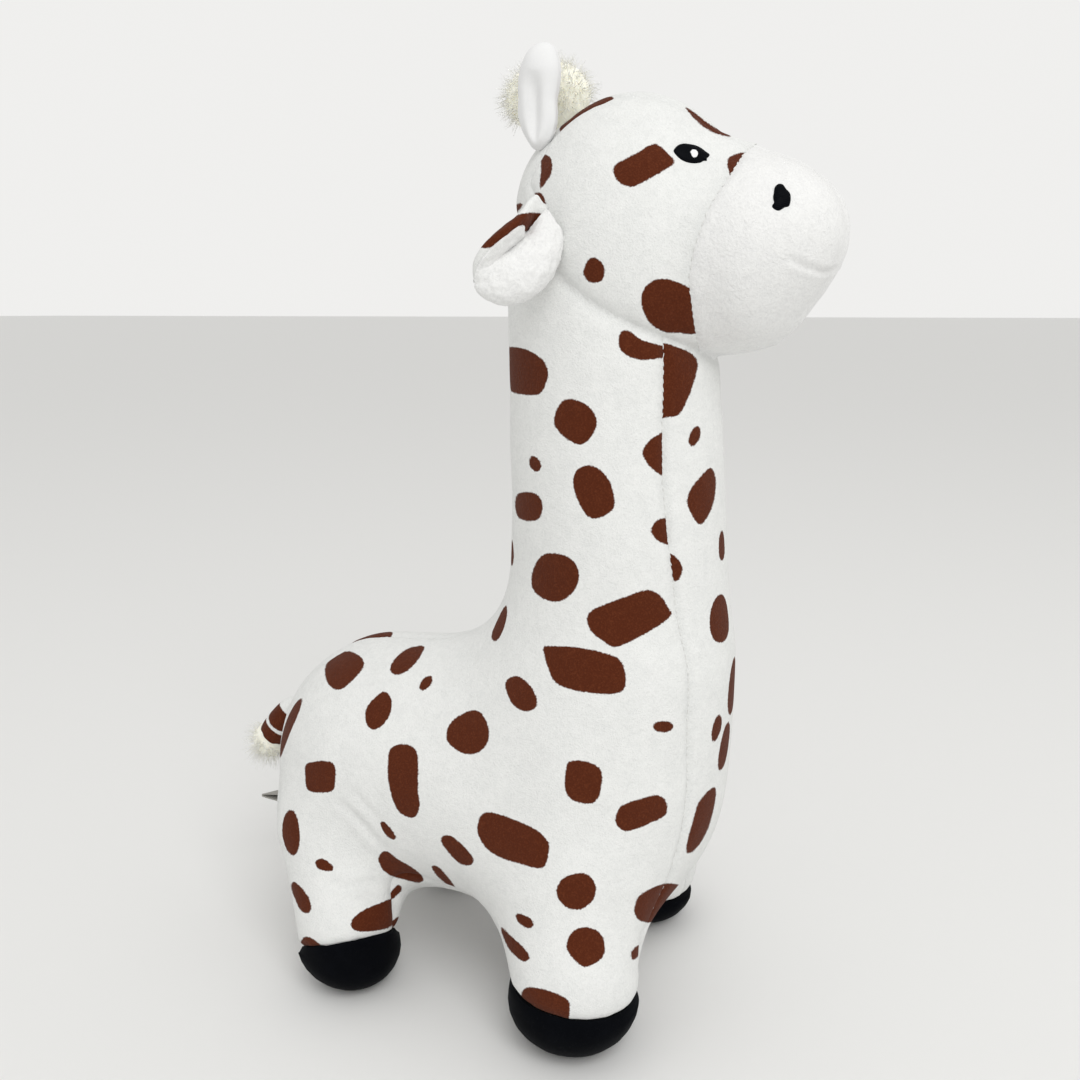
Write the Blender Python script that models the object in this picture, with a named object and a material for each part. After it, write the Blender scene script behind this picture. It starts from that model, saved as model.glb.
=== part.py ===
"""A standing plush giraffe, sewn from short-pile panels over loose fibre filling.

It faces -Y with its left side at +X and stands on four stuffed hooves at Z = 0. The soft forms are worked out as rounded limbs that swell, taper and run into each other.
One net of facets is laid on that form; the cloth panels and the filling are the same net moved
inwards by the cloth, and every panel ends along its own sewn seam. Everything is laid out about
the line over the middle of the legs, then moved so that the origin lies under the middle of the
overall length.
"""
import math

import bmesh
import bpy
import numpy as np
from mathutils import Matrix, Vector

MM = 0.001

# Cloth, seams and nets
CLOTH = 1.5 * MM
GAP = 0.3 * MM
BODY_FACET = 12.0 * MM
HEAD_FACET = 8.6 * MM
PROBE = 0.2 * MM
OVERRUN = 120.0 * MM
SETTLE_ROUNDS = 14
LANDING_ROUNDS = 6
RELAX_SHARE = 0.35
BALL_SUBDIVISION_COUNT = 2
SHARP_EDGE = math.radians(40.0)
ROOT_RING_ANGLES = [math.radians(angle) for angle in (-80.0, -60.0, -40.0, -20.0, 0.0)]
LENGTH_MIDDLE_Y = 5.9 * MM

# Torso, deep at the chest and lighter at the rump
CHEST_Y = -27.0 * MM
CHEST_Z = 76.9 * MM
CHEST_RADIUS = 50.7 * MM
RUMP_Y = 49.0 * MM
RUMP_Z = 73.9 * MM
RUMP_RADIUS = 46.7 * MM
TORSO_WIDTH_SHARE = 0.97

# Neck
NECK_FOOT_Y = -40.5 * MM
NECK_FOOT_Z = 133.0 * MM
NECK_FOOT_RADIUS = 37.9 * MM
NECK_TOP_Y = -34.8 * MM
NECK_TOP_Z = 259.0 * MM
NECK_TOP_RADIUS = 34.4 * MM
NECK_BLEND = 40.0 * MM

# Legs, each between a hip inside the torso and a foot inside its hoof
FRONT_HIP = (31.0 * MM, -32.6 * MM, 44.5 * MM)
FRONT_HIP_RADIUS = 24.4 * MM
FRONT_FOOT = (42.5 * MM, -38.5 * MM, 25.0 * MM)
FRONT_FOOT_RADIUS = 21.8 * MM
REAR_HIP = (31.0 * MM, 67.6 * MM, 50.4 * MM)
REAR_HIP_RADIUS = 13.4 * MM
REAR_FOOT = (41.0 * MM, 51.0 * MM, 23.0 * MM)
REAR_FOOT_RADIUS = 18.3 * MM
LEG_BLEND = 22.0 * MM

# Hooves: velvet cups with a rounded edge and a small flat sole
HOOF_HEIGHT = 24.0 * MM
HOOF_LIP = 1.0 * MM
HOOF_ROUNDING = 15.0 * MM
HOOF_SIDES = 24
HOOF_RINGS = 5

# Head: a tall cranium that runs into a deep, blunt muzzle
CRANIUM_PLACE = (0.0, -42.9 * MM, 262.3 * MM)
CRANIUM_RADII = (37.2 * MM, 39.3 * MM, 48.0 * MM)
CHEEK_PLACE = (0.0, -80.2 * MM, 260.6 * MM)
CHEEK_RADII = (31.3 * MM, 22.7 * MM, 30.0 * MM)
SNOUT_PLACE = (0.0, -91.0 * MM, 265.7 * MM)
SNOUT_RADIUS = 18.4 * MM
SNOUT_FLAT = 8.0 * MM
HEAD_BLEND = 9.7 * MM

# Seams of the body
NECK_GUSSET_WIDTH = 51.0 * MM
CHEST_CORNER = (-68.0 * MM, 50.0 * MM)
CHEST_CORNER_WIDTH = 57.0 * MM
LEG_CORNER = (-64.0 * MM, 42.0 * MM)
BELLY_GUSSET_WIDTH = 62.0 * MM
SEAT_GUSSET_WIDTH = 44.0 * MM
GUSSET_TIP_WIDTH = 3.0 * MM
CHEST_SEAM_Z = 77.0 * MM
TAIL_ROOT_Z = 84.0 * MM
LEG_CUT_Z = 42.0 * MM
LEG_CUT_MARGIN = 7.0 * MM

# Seams of the head
MUZZLE_SEAM_Y = -68.0 * MM
MUZZLE_SEAM_Z = 245.0 * MM
MUZZLE_SEAM_TILT = math.radians(14.0)
CROWN_CORE = 9.0 * MM
CROWN_SEAM = (
    (-83.0 * MM, 291.0 * MM, 6.0 * MM),
    (-60.0 * MM, 304.0 * MM, 9.5 * MM),
    (-36.0 * MM, 307.0 * MM, 12.5 * MM),
    (-19.0 * MM, 292.0 * MM, 19.0 * MM),
    (-15.0 * MM, 279.0 * MM, 27.5 * MM),
    (-20.0 * MM, 266.0 * MM, 32.5 * MM),
    (-22.0 * MM, 252.0 * MM, 33.5 * MM),
    (-26.0 * MM, 232.0 * MM, 33.5 * MM),
)

# Ears: a cupped leaf of body plush, lined, gathered to a small root
EAR_SEAT = (-35.0 * MM, -29.0 * MM, 265.0 * MM)
EAR_ROOT_RADIUS = 3.6 * MM
EAR_LENGTH = 28.0 * MM
EAR_WIDTH = 27.0 * MM
EAR_ROOT_WIDTH = 9.0 * MM
EAR_LAYER = 1.3 * MM
EAR_LINING_SETBACK = 5.0 * MM
EAR_OUTWARD = Vector((-0.60, 0.62, -0.50)).normalized()
EAR_OPENING = Vector((-0.76, -0.64, 0.12)).normalized()
EAR_ROOT_CURL = math.radians(82.0)
EAR_TIP_CURL = math.radians(38.0)
EAR_STATIONS = 7
EAR_SPOKES = 9
EAR_SWELL_SHARES = (0.0, 0.62, 0.86, 0.98, 1.0, 0.88, 0.62, 0.24)

# Horns: flattened, lightly filled tubes of smooth cloth
HORN_SEAT = (-17.0 * MM, -18.0 * MM, 294.0 * MM)
HORN_ROOT_RADIUS = 3.4 * MM
HORN_LENGTH = 28.2 * MM
HORN_DEPTH = 14.0 * MM
HORN_THICKNESS = 9.0 * MM
HORN_BEND = 2.0 * MM
HORN_SIDES = 12
HORN_PROFILE_SHARES = (
    (0.30, 0.72, 0.85),
    (0.52, 0.95, 0.97),
    (0.70, 1.00, 1.00),
    (0.85, 0.86, 0.93),
    (0.95, 0.55, 0.65),
    (1.00, 0.18, 0.12),
)
RIGHT_HORN_DIRECTION = Vector((-0.03, -0.09, 1.0)).normalized()
LEFT_HORN_DIRECTION = Vector((0.16, 0.34, 0.94)).normalized()

# Crest: a pad of long pile between and behind the horns
CREST_LENGTH = 36.0 * MM
CREST_HEIGHT = 24.0 * MM
CREST_SETBACK = 30.9 * MM
CREST_STAND = 10.2 * MM
CREST_WIDTH = 15.0 * MM
CREST_SUBDIVISION_COUNT = 3

# Tail: a short spotted tube that ends in a long-pile tuft
TAIL_ROOT_RADIUS = 4.8 * MM
TAIL_RADIUS = 6.2 * MM
TAIL_LENGTH = 17.0 * MM
TAIL_DIRECTION = Vector((0.0, 0.60, -0.80)).normalized()
TAIL_TUFT_RADIUS = 8.5 * MM
TAIL_TUFT_LENGTH = 15.0 * MM
TAIL_SIDES = 12
TAIL_PROFILE_SHARES = ((0.50, 1.0), (0.92, 1.0), (1.00, 0.8))
TAIL_TUFT_PROFILE_SHARES = ((0.0, 0.6), (0.2, 0.92), (0.45, 1.0), (0.7, 0.85), (0.9, 0.5), (1.0, 0.15))

# Embroidery on the head
THREAD = 0.8 * MM
EYE_PLACE = (-22.5 * MM, -66.0 * MM, 288.3 * MM)
EYE_LENGTH = 12.0 * MM
EYE_HEIGHT = 6.6 * MM
EYE_TILT = math.radians(-14.0)
GLINT_RADIUS = 1.2 * MM
GLINT_FORWARD = 0.4 * MM
NOSTRIL_PLACE = (-25.8 * MM, -93.6 * MM, 274.7 * MM)
NOSTRIL_LENGTH = 8.6 * MM
NOSTRIL_HEIGHT = 6.0 * MM
NOSTRIL_TILT = math.radians(78.0)
PATCH_SIDES = 20
PATCH_REACH = 6.0 * MM

# Bare cloth tab in the seat seam
TAB_Z = 45.0 * MM
TAB_WIDTH = 12.0 * MM
TAB_LENGTH = 24.0 * MM
TAB_THICKNESS = 1.2 * MM


def finish(name, colour, roughness, metallic=0.0):
    material = bpy.data.materials.new(name)
    material.use_nodes = True
    shader = material.node_tree.nodes["Principled BSDF"]
    shader.inputs["Base Color"].default_value = (*colour, 1.0)
    shader.inputs["Roughness"].default_value = roughness
    shader.inputs["Metallic"].default_value = metallic
    return material


def add_object(name, mesh):
    piece = bpy.data.objects.new(name, mesh)
    bpy.context.scene.collection.objects.link(piece)
    return piece


def mesh_from(name, corners, faces):
    mesh = bpy.data.meshes.new(name)
    mesh.from_pydata([tuple(corner) for corner in corners], [], [tuple(face) for face in faces])
    mesh.update()
    return mesh


def bake(piece):
    """Replaces an object's mesh by what its modifiers make of it."""
    graph = bpy.context.evaluated_depsgraph_get()
    mesh = bpy.data.meshes.new_from_object(piece.evaluated_get(graph))
    piece.modifiers.clear()
    piece.data = mesh
    return piece


def combine(piece, tool, operation):
    modifier = piece.modifiers.new(operation.title(), "BOOLEAN")
    modifier.operation = operation
    modifier.solver = "EXACT"
    modifier.object = tool
    return bake(piece)


def copy_of(piece, name):
    return add_object(name, piece.data.copy())


def as_tool(piece):
    piece.hide_render = True
    piece.display_type = "WIRE"
    return piece


def keep_largest(piece):
    """Drops the slivers that a cut leaves beside the panel itself."""
    shape = bmesh.new()
    shape.from_mesh(piece.data)
    left = set(shape.verts)
    islands = []
    while left:
        front = [left.pop()]
        island = set(front)
        while front:
            for edge in front.pop().link_edges:
                for corner in edge.verts:
                    if corner in left:
                        left.remove(corner)
                        island.add(corner)
                        front.append(corner)
        islands.append(island)
    islands.sort(key=len)
    extra = [corner for island in islands[:-1] for corner in island]
    bmesh.ops.delete(shape, geom=extra, context="VERTS")
    bmesh.ops.triangulate(shape, faces=shape.faces)
    shape.to_mesh(piece.data)
    shape.free()
    return piece


def dress(piece, material):
    """Gives a finished solid its material and smooth shading with sharp seam edges."""
    keep_largest(piece)
    piece.data.materials.clear()
    piece.data.materials.append(material)
    piece.data.shade_smooth()
    piece.data.set_sharp_from_angle(angle=SHARP_EDGE)
    return piece


# The soft form, as distances: negative inside, zero on the cloth
def limb_distance(points, start, end, start_radius, end_radius, width_share=1.0):
    squeeze = np.array((1.0 / width_share, 1.0, 1.0))
    start = np.array(start)
    along = (np.array(end) - start) * squeeze
    offset = (points - start) * squeeze
    share = np.clip(offset @ along / (along @ along), 0.0, 1.0)
    radius = start_radius + (end_radius - start_radius) * share
    return np.linalg.norm(offset - share[:, None] * along, axis=1) - radius


def ball_distance(points, centre, radii):
    offset = points - np.array(centre)
    radii = np.array(radii)
    near = np.linalg.norm(offset / radii, axis=1)
    slope = np.linalg.norm(offset / radii**2, axis=1)
    return near * (near - 1.0) / np.maximum(slope, 1.0 / radii.max())


def blended(first, second, reach):
    share = np.clip(0.5 + 0.5 * (second - first) / reach, 0.0, 1.0)
    return second + (first - second) * share - reach * share * (1.0 - share)


BODY_LIMBS = (
    ((0.0, CHEST_Y, CHEST_Z), (0.0, RUMP_Y, RUMP_Z), CHEST_RADIUS, RUMP_RADIUS, TORSO_WIDTH_SHARE, 0.0),
    ((0.0, NECK_FOOT_Y, NECK_FOOT_Z), (0.0, NECK_TOP_Y, NECK_TOP_Z), NECK_FOOT_RADIUS, NECK_TOP_RADIUS,
     1.0, NECK_BLEND),
    (FRONT_HIP, FRONT_FOOT, FRONT_HIP_RADIUS, FRONT_FOOT_RADIUS, 1.0, LEG_BLEND),
    (REAR_HIP, REAR_FOOT, REAR_HIP_RADIUS, REAR_FOOT_RADIUS, 1.0, LEG_BLEND),
)


def body_distance(points):
    mirrored = np.array(points)
    mirrored[:, 0] = np.abs(mirrored[:, 0])
    total = None
    for start, end, start_radius, end_radius, width_share, reach in BODY_LIMBS:
        part = limb_distance(mirrored, start, end, start_radius, end_radius, width_share)
        total = part if total is None else blended(total, part, reach)
    return total


def head_distance(points):
    cranium = ball_distance(points, CRANIUM_PLACE, CRANIUM_RADII)
    cheeks = ball_distance(points, CHEEK_PLACE, CHEEK_RADII)
    snout_points = points - np.array(SNOUT_PLACE)
    snout_points[:, 0] = np.maximum(np.abs(snout_points[:, 0]) - SNOUT_FLAT, 0.0)
    snout = np.linalg.norm(snout_points, axis=1) - SNOUT_RADIUS
    return blended(blended(cranium, cheeks, HEAD_BLEND), snout, HEAD_BLEND)


def outward(distance, points):
    """The direction in which the form's distance grows fastest, at each point."""
    slopes = np.empty_like(points)
    for axis in range(3):
        step = np.zeros(3)
        step[axis] = PROBE
        slopes[:, axis] = distance(points + step) - distance(points - step)
    slopes /= 2.0 * PROBE
    size = np.linalg.norm(slopes, axis=1)[:, None]
    return slopes / size, size[:, 0]


def on_form(distance, points):
    """Moves points onto the form's surface."""
    points = np.array(points, dtype=float)
    for _ in range(LANDING_ROUNDS):
        direction, slope = outward(distance, points)
        points -= direction * (distance(points) / slope)[:, None]
    return points


def rough_blank(name, balls, facet):
    """A closed net around strings of balls, with about the same facets all over."""
    shape = bmesh.new()
    for start, end, start_radii, end_radii in balls:
        start = Vector(start)
        end = Vector(end)
        start_radii = Vector(start_radii)
        end_radii = Vector(end_radii)
        steps = 1 + math.ceil((end - start).length / (min(*start_radii, *end_radii) / 2))
        for step in range(steps + 1):
            share = step / steps
            made = bmesh.ops.create_icosphere(shape, subdivisions=BALL_SUBDIVISION_COUNT, radius=1.0)
            radii = start_radii.lerp(end_radii, share)
            place = Matrix.Translation(start.lerp(end, share)) @ Matrix.Diagonal((*radii, 1.0))
            bmesh.ops.transform(shape, matrix=place, verts=made["verts"])
    mesh = bpy.data.meshes.new(name)
    shape.to_mesh(mesh)
    shape.free()
    blank = add_object(name, mesh)
    remesh = blank.modifiers.new("Net", "REMESH")
    remesh.mode = "VOXEL"
    remesh.voxel_size = facet
    return bake(blank)


def settled_net(blank, distance):
    """Settles a rough net on the form, evening out its facets, and returns corners and triangles."""
    shape = bmesh.new()
    shape.from_mesh(blank.data)
    shape.verts.ensure_lookup_table()
    pairs = np.array([[corner.index for corner in edge.verts] for edge in shape.edges])
    corners = np.array([corner.co for corner in shape.verts], dtype=float)
    degree = np.bincount(pairs.reshape(-1), minlength=len(corners))[:, None]
    for _ in range(SETTLE_ROUNDS):
        middle = np.zeros_like(corners)
        np.add.at(middle, pairs[:, 0], corners[pairs[:, 1]])
        np.add.at(middle, pairs[:, 1], corners[pairs[:, 0]])
        corners += (middle / degree - corners) * RELAX_SHARE
        corners = on_form(distance, corners)
    for corner, place in zip(shape.verts, corners):
        corner.co = place
    bmesh.ops.triangulate(shape, faces=shape.faces, quad_method="SHORT_EDGE")
    faces = [[corner.index for corner in face.verts] for face in shape.faces]
    shape.free()
    bpy.data.objects.remove(blank)
    direction, _ = outward(distance, corners)
    return corners, direction, faces


def layer(name, net, depth):
    """The closed solid whose surface lies a depth inside the form."""
    corners, direction, faces = net
    return add_object(name, mesh_from(name, corners - direction * depth, faces))


def skin(name, net, outer_depth, inner_depth):
    """The hollow solid between two depths of one net."""
    corners, direction, faces = net
    count = len(corners)
    outer = corners - direction * outer_depth
    inner = corners - direction * inner_depth
    turned = [[count + index for index in reversed(face)] for face in faces]
    return add_object(name, mesh_from(name, np.vstack((outer, inner)), faces + turned))


def box(name, low, high):
    """A cutting block between two corners."""
    low = Vector(low)
    high = Vector(high)
    shape = bmesh.new()
    bmesh.ops.create_cube(shape, size=1.0)
    place = Matrix.Translation((low + high) / 2) @ Matrix.Diagonal((*(high - low), 1.0))
    bmesh.ops.transform(shape, matrix=place, verts=shape.verts)
    mesh = bpy.data.meshes.new(name)
    shape.to_mesh(mesh)
    shape.free()
    return as_tool(add_object(name, mesh))


def column(name, centre, radius, low_z, high_z):
    """An upright round cutting block."""
    rings = []
    for height in (low_z, high_z):
        ring = []
        for index in range(HOOF_SIDES):
            angle = math.tau * index / HOOF_SIDES
            ring.append((centre[0] + radius * math.cos(angle), centre[1] + radius * math.sin(angle), height))
        rings.append(ring)
    return as_tool(tube(name, rings))


def ruled_cutter(name, stations, growth):
    """A band around the Y-Z plane: each station has an inner and an outer point and a half width."""
    corners = []
    for inner, outer, half_width in stations:
        wide = half_width + growth
        for side, point in ((wide, inner), (wide, outer), (-wide, outer), (-wide, inner)):
            corners.append((side, *point))
    faces = [(3, 2, 1), (3, 1, 0)]
    for step in range(len(stations) - 1):
        a, b, c, d, e, f, g, h = range(4 * step, 4 * step + 8)
        faces += [(a, b, f), (a, f, e), (b, c, g), (b, g, f), (c, d, g), (d, h, g), (d, a, e), (d, e, h)]
    last = 4 * (len(stations) - 1)
    faces += [(last, last + 1, last + 2), (last, last + 2, last + 3)]
    cutter = add_object(name, mesh_from(name, corners, faces))
    shape = bmesh.new()
    shape.from_mesh(cutter.data)
    bmesh.ops.recalc_face_normals(shape, faces=shape.faces)
    shape.to_mesh(cutter.data)
    shape.free()
    return as_tool(cutter)


def tube(name, rings):
    """A closed solid through rings of points, with its first and last rings capped."""
    corners = [point for ring in rings for point in ring]
    sides = len(rings[0])
    faces = [tuple(reversed(range(sides)))]
    for step in range(len(rings) - 1):
        base = step * sides
        for index in range(sides):
            after = (index + 1) % sides
            faces.append((base + index, base + after, base + sides + after, base + sides + index))
    faces.append(tuple((len(rings) - 1) * sides + index for index in range(sides)))
    return add_object(name, mesh_from(name, corners, faces))


def frame_along(direction, sideways):
    """Two unit directions square to a direction, the first nearest to sideways."""
    across = (Vector(sideways) - direction * Vector(sideways).dot(direction)).normalized()
    return across, direction.cross(across)


def rounded_limb(name, root, direction, sideways, stations, sides):
    """A soft tube: each station gives its distance from the root, two half widths and a shift."""
    across, third = frame_along(direction, sideways)
    rings = []
    for distance, half_across, half_third, shift in stations:
        centre = Vector(root) + direction * distance + across * shift
        ring = []
        for index in range(sides):
            angle = math.tau * index / sides
            ring.append(centre + across * half_across * math.cos(angle) + third * half_third * math.sin(angle))
        rings.append(ring)
    return tube(name, rings)


def pivot_at(piece, place):
    """Puts an object's origin on its hinge."""
    place = Vector(place)
    piece.data.transform(Matrix.Translation(-place))
    piece.location = place
    return piece


def remove(*pieces):
    for piece in pieces:
        bpy.data.objects.remove(piece)


for old in list(bpy.data.objects):
    bpy.data.objects.remove(old)

white_plush = finish("white_plush", (0.86, 0.87, 0.85), 0.95)
muzzle_plush = finish("muzzle_plush", (0.88, 0.88, 0.87), 0.97)
black_velvet = finish("black_velvet", (0.01, 0.01, 0.012), 0.9)
fibre_filling = finish("fibre_filling", (0.9, 0.9, 0.88), 1.0)
smooth_cloth = finish("smooth_cloth", (0.84, 0.84, 0.84), 0.8)
cream_pile = finish("cream_pile", (0.86, 0.80, 0.62), 0.95)
spotted_plush = finish("spotted_plush", (0.11, 0.027, 0.014), 0.95)
black_thread = finish("black_thread", (0.008, 0.009, 0.012), 0.55)
white_thread = finish("white_thread", (0.9, 0.9, 0.9), 0.5)
grey_ribbon = finish("grey_ribbon", (0.35, 0.34, 0.33), 0.7)


def point_radii(radius, width_share=1.0):
    return (radius * width_share, radius, radius)


def mirrored_place(place):
    return (-place[0], place[1], place[2])


# The two nets that all of the cloth and the filling follow
body_balls = [
    ((0.0, CHEST_Y, CHEST_Z), (0.0, RUMP_Y, RUMP_Z), point_radii(CHEST_RADIUS, TORSO_WIDTH_SHARE),
     point_radii(RUMP_RADIUS, TORSO_WIDTH_SHARE)),
    ((0.0, NECK_FOOT_Y, NECK_FOOT_Z), (0.0, NECK_TOP_Y, NECK_TOP_Z), point_radii(NECK_FOOT_RADIUS),
     point_radii(NECK_TOP_RADIUS)),
]
for hip, foot, hip_radius, foot_radius in (
    (FRONT_HIP, FRONT_FOOT, FRONT_HIP_RADIUS, FRONT_FOOT_RADIUS),
    (REAR_HIP, REAR_FOOT, REAR_HIP_RADIUS, REAR_FOOT_RADIUS),
):
    body_balls.append((hip, foot, point_radii(hip_radius), point_radii(foot_radius)))
    body_balls.append((mirrored_place(hip), mirrored_place(foot), point_radii(hip_radius),
                       point_radii(foot_radius)))
body_net = settled_net(rough_blank("body_blank", body_balls, BODY_FACET), body_distance)

snout_radii = (SNOUT_RADIUS + SNOUT_FLAT, SNOUT_RADIUS, SNOUT_RADIUS)
head_balls = [
    (CRANIUM_PLACE, CRANIUM_PLACE, CRANIUM_RADII, CRANIUM_RADII),
    (CHEEK_PLACE, CHEEK_PLACE, CHEEK_RADII, CHEEK_RADII),
    (SNOUT_PLACE, SNOUT_PLACE, snout_radii, snout_radii),
]
head_net = settled_net(rough_blank("head_blank", head_balls, HEAD_FACET), head_distance)

head_clearance = as_tool(layer("head_clearance", head_net, -GAP))
head_inside = as_tool(layer("head_inside", head_net, CLOTH))
body_inside = as_tool(layer("body_inside", body_net, CLOTH))
body_skin = skin("body_skin", body_net, 0.0, CLOTH)
head_skin = skin("head_skin", head_net, 0.0, CLOTH)

# Body gusset: chin to chest, round the inner legs and the belly, up to a point at the tail
front_y = CHEST_Y - OVERRUN
rear_y = RUMP_Y + OVERRUN
below_z = -OVERRUN / 4
front_leg_y = FRONT_FOOT[1]
rear_leg_y = REAR_FOOT[1]
back_of_leg_y = front_leg_y + FRONT_FOOT_RADIUS
armpit_y = (NECK_TOP_Y + back_of_leg_y) / 2
core_z = LEG_CUT_Z + FRONT_FOOT_RADIUS
mid_y = (front_leg_y + rear_leg_y) / 2
rear_core_z = (core_z + TAIL_ROOT_Z) / 2
chest_core = Vector((NECK_TOP_Y, core_z))
chest_corner_far = chest_core + (Vector(CHEST_CORNER) - chest_core).normalized() * OVERRUN
leg_corner_far = chest_core + (Vector(LEG_CORNER) - chest_core).normalized() * OVERRUN
gusset_stations = (
    ((NECK_TOP_Y, NECK_TOP_Z), (front_y, NECK_TOP_Z), NECK_GUSSET_WIDTH / 2),
    ((NECK_TOP_Y, NECK_FOOT_Z), (front_y, NECK_FOOT_Z), NECK_GUSSET_WIDTH / 2),
    ((NECK_TOP_Y, CHEST_SEAM_Z), (front_y, CHEST_SEAM_Z), NECK_GUSSET_WIDTH / 2),
    ((NECK_TOP_Y, core_z + CLOTH), chest_corner_far, CHEST_CORNER_WIDTH / 2),
    (chest_core, leg_corner_far, FRONT_FOOT[0]),
    ((armpit_y, core_z), (front_leg_y, below_z), FRONT_FOOT[0]),
    ((back_of_leg_y, core_z), (back_of_leg_y, below_z), FRONT_FOOT[0]),
    ((mid_y, core_z), (mid_y, below_z), BELLY_GUSSET_WIDTH / 2),
    ((rear_leg_y - REAR_FOOT_RADIUS, core_z), (rear_leg_y - REAR_FOOT_RADIUS, below_z), REAR_FOOT[0]),
    ((rear_leg_y, core_z), (rear_y, below_z), REAR_FOOT[0]),
    ((rear_leg_y, rear_core_z), (rear_y, rear_core_z), SEAT_GUSSET_WIDTH / 2),
    ((rear_leg_y, TAIL_ROOT_Z), (rear_y, TAIL_ROOT_Z), GUSSET_TIP_WIDTH / 2),
)
gusset_inside = ruled_cutter("gusset_inside", gusset_stations, -GAP / 2)
gusset_outside = ruled_cutter("gusset_outside", gusset_stations, GAP / 2)
top_z = NECK_TOP_Z + OVERRUN
legs = (
    ("front_right", -1, FRONT_FOOT, FRONT_FOOT_RADIUS),
    ("front_left", 1, FRONT_FOOT, FRONT_FOOT_RADIUS),
    ("rear_right", -1, REAR_FOOT, REAR_FOOT_RADIUS),
    ("rear_left", 1, REAR_FOOT, REAR_FOOT_RADIUS),
)
for label, turn, foot, foot_radius in legs:
    hoof_reach = foot_radius + HOOF_LIP + GAP
    hoof_room = column("hoof_room", (turn * foot[0], foot[1]), hoof_reach, below_z, HOOF_HEIGHT + GAP)
    combine(body_skin, hoof_room, "DIFFERENCE")
    remove(hoof_room)
combine(body_skin, head_clearance, "DIFFERENCE")

chest_belly_gusset = copy_of(body_skin, "chest_belly_gusset")
combine(chest_belly_gusset, gusset_inside, "INTERSECT")
dress(chest_belly_gusset, white_plush)

for side, turn in (("right", -1), ("left", 1)):
    near_x, far_x = sorted((turn * GAP / 2, turn * OVERRUN))
    half = box(side + "_half", (near_x, front_y, below_z), (far_x, rear_y, top_z))
    panel = copy_of(body_skin, "side_panel_" + side)
    combine(panel, half, "INTERSECT")
    combine(panel, gusset_outside, "DIFFERENCE")
    dress(panel, white_plush)
    remove(half)

# Filling: the torso carries the neck and the legs, and each is cut where the larger one begins
body_filling = layer("body_filling", body_net, CLOTH + GAP)
torso = copy_of(body_filling, "filling_torso")
torso_top = box("torso_top", (-OVERRUN, front_y, NECK_FOOT_Z - GAP), (OVERRUN, rear_y, top_z))
neck_span = box("neck_span", (-OVERRUN, front_y, NECK_FOOT_Z), (OVERRUN, rear_y, top_z))
combine(torso, torso_top, "DIFFERENCE")
for label, turn, foot, foot_radius in legs:
    reach = foot_radius + LEG_CUT_MARGIN
    leg_span = column("leg_span", (turn * foot[0], foot[1]), reach, below_z, LEG_CUT_Z)
    leg = copy_of(body_filling, "filling_leg_" + label)
    combine(leg, leg_span, "INTERSECT")
    dress(leg, fibre_filling)
    leg_room = column("leg_room", (turn * foot[0], foot[1]), reach + GAP, below_z, LEG_CUT_Z + GAP)
    combine(torso, leg_room, "DIFFERENCE")
    remove(leg_span, leg_room)
dress(torso, fibre_filling)

neck = copy_of(body_filling, "filling_neck")
combine(neck, neck_span, "INTERSECT")
combine(neck, head_inside, "DIFFERENCE")
dress(neck, fibre_filling)
dress(layer("filling_head", head_net, CLOTH + GAP), fibre_filling)

# Hooves: turned cups, hollowed by the leg that stands in them
for label, turn, foot, foot_radius in legs:
    wall = foot_radius + HOOF_LIP
    sole = wall - HOOF_ROUNDING
    profile = [(wall - HOOF_LIP / 2, HOOF_HEIGHT), (wall, HOOF_HEIGHT - HOOF_LIP)]
    for step in range(HOOF_RINGS + 1):
        angle = math.pi / 2 * step / HOOF_RINGS
        profile.append((sole + HOOF_ROUNDING * math.cos(angle), HOOF_ROUNDING * (1.0 - math.sin(angle))))
    rings = []
    for radius, height in reversed(profile):
        ring = []
        for index in range(HOOF_SIDES):
            angle = math.tau * index / HOOF_SIDES
            ring.append((turn * foot[0] + radius * math.cos(angle), foot[1] + radius * math.sin(angle), height))
        rings.append(ring)
    hoof = tube("hoof_" + label, rings)
    combine(hoof, body_inside, "DIFFERENCE")
    dress(hoof, black_velvet)

# Head panels: a crown gusset from the muzzle to the nape, two sides and a two-piece muzzle
def behind_muzzle(name, near_x, far_x, start, depth):
    """A block square to the muzzle seam, from start to depth along the head."""
    block = box(name, (near_x, start, -OVERRUN), (far_x, depth, OVERRUN))
    turn = Matrix.Rotation(MUZZLE_SEAM_TILT, 4, "X")
    block.data.transform(Matrix.Translation((0.0, MUZZLE_SEAM_Y, MUZZLE_SEAM_Z)) @ turn)
    return block


crown_stations = []
core = Vector(CRANIUM_PLACE[1:])
for seam_y, seam_z, half_width in CROWN_SEAM:
    ray = (Vector((seam_y, seam_z)) - core).normalized()
    crown_stations.append((core + ray * CROWN_CORE, core + ray * OVERRUN, half_width))
crown_inside = ruled_cutter("crown_inside", crown_stations, -GAP / 2)
crown_outside = ruled_cutter("crown_outside", crown_stations, GAP / 2)

crown = copy_of(head_skin, "crown_gusset")
back_block = behind_muzzle("back_block", -OVERRUN, OVERRUN, GAP / 2, OVERRUN)
combine(crown, crown_inside, "INTERSECT")
combine(crown, back_block, "INTERSECT")
combine(crown, body_inside, "DIFFERENCE")
dress(crown, white_plush)
remove(back_block)

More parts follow.
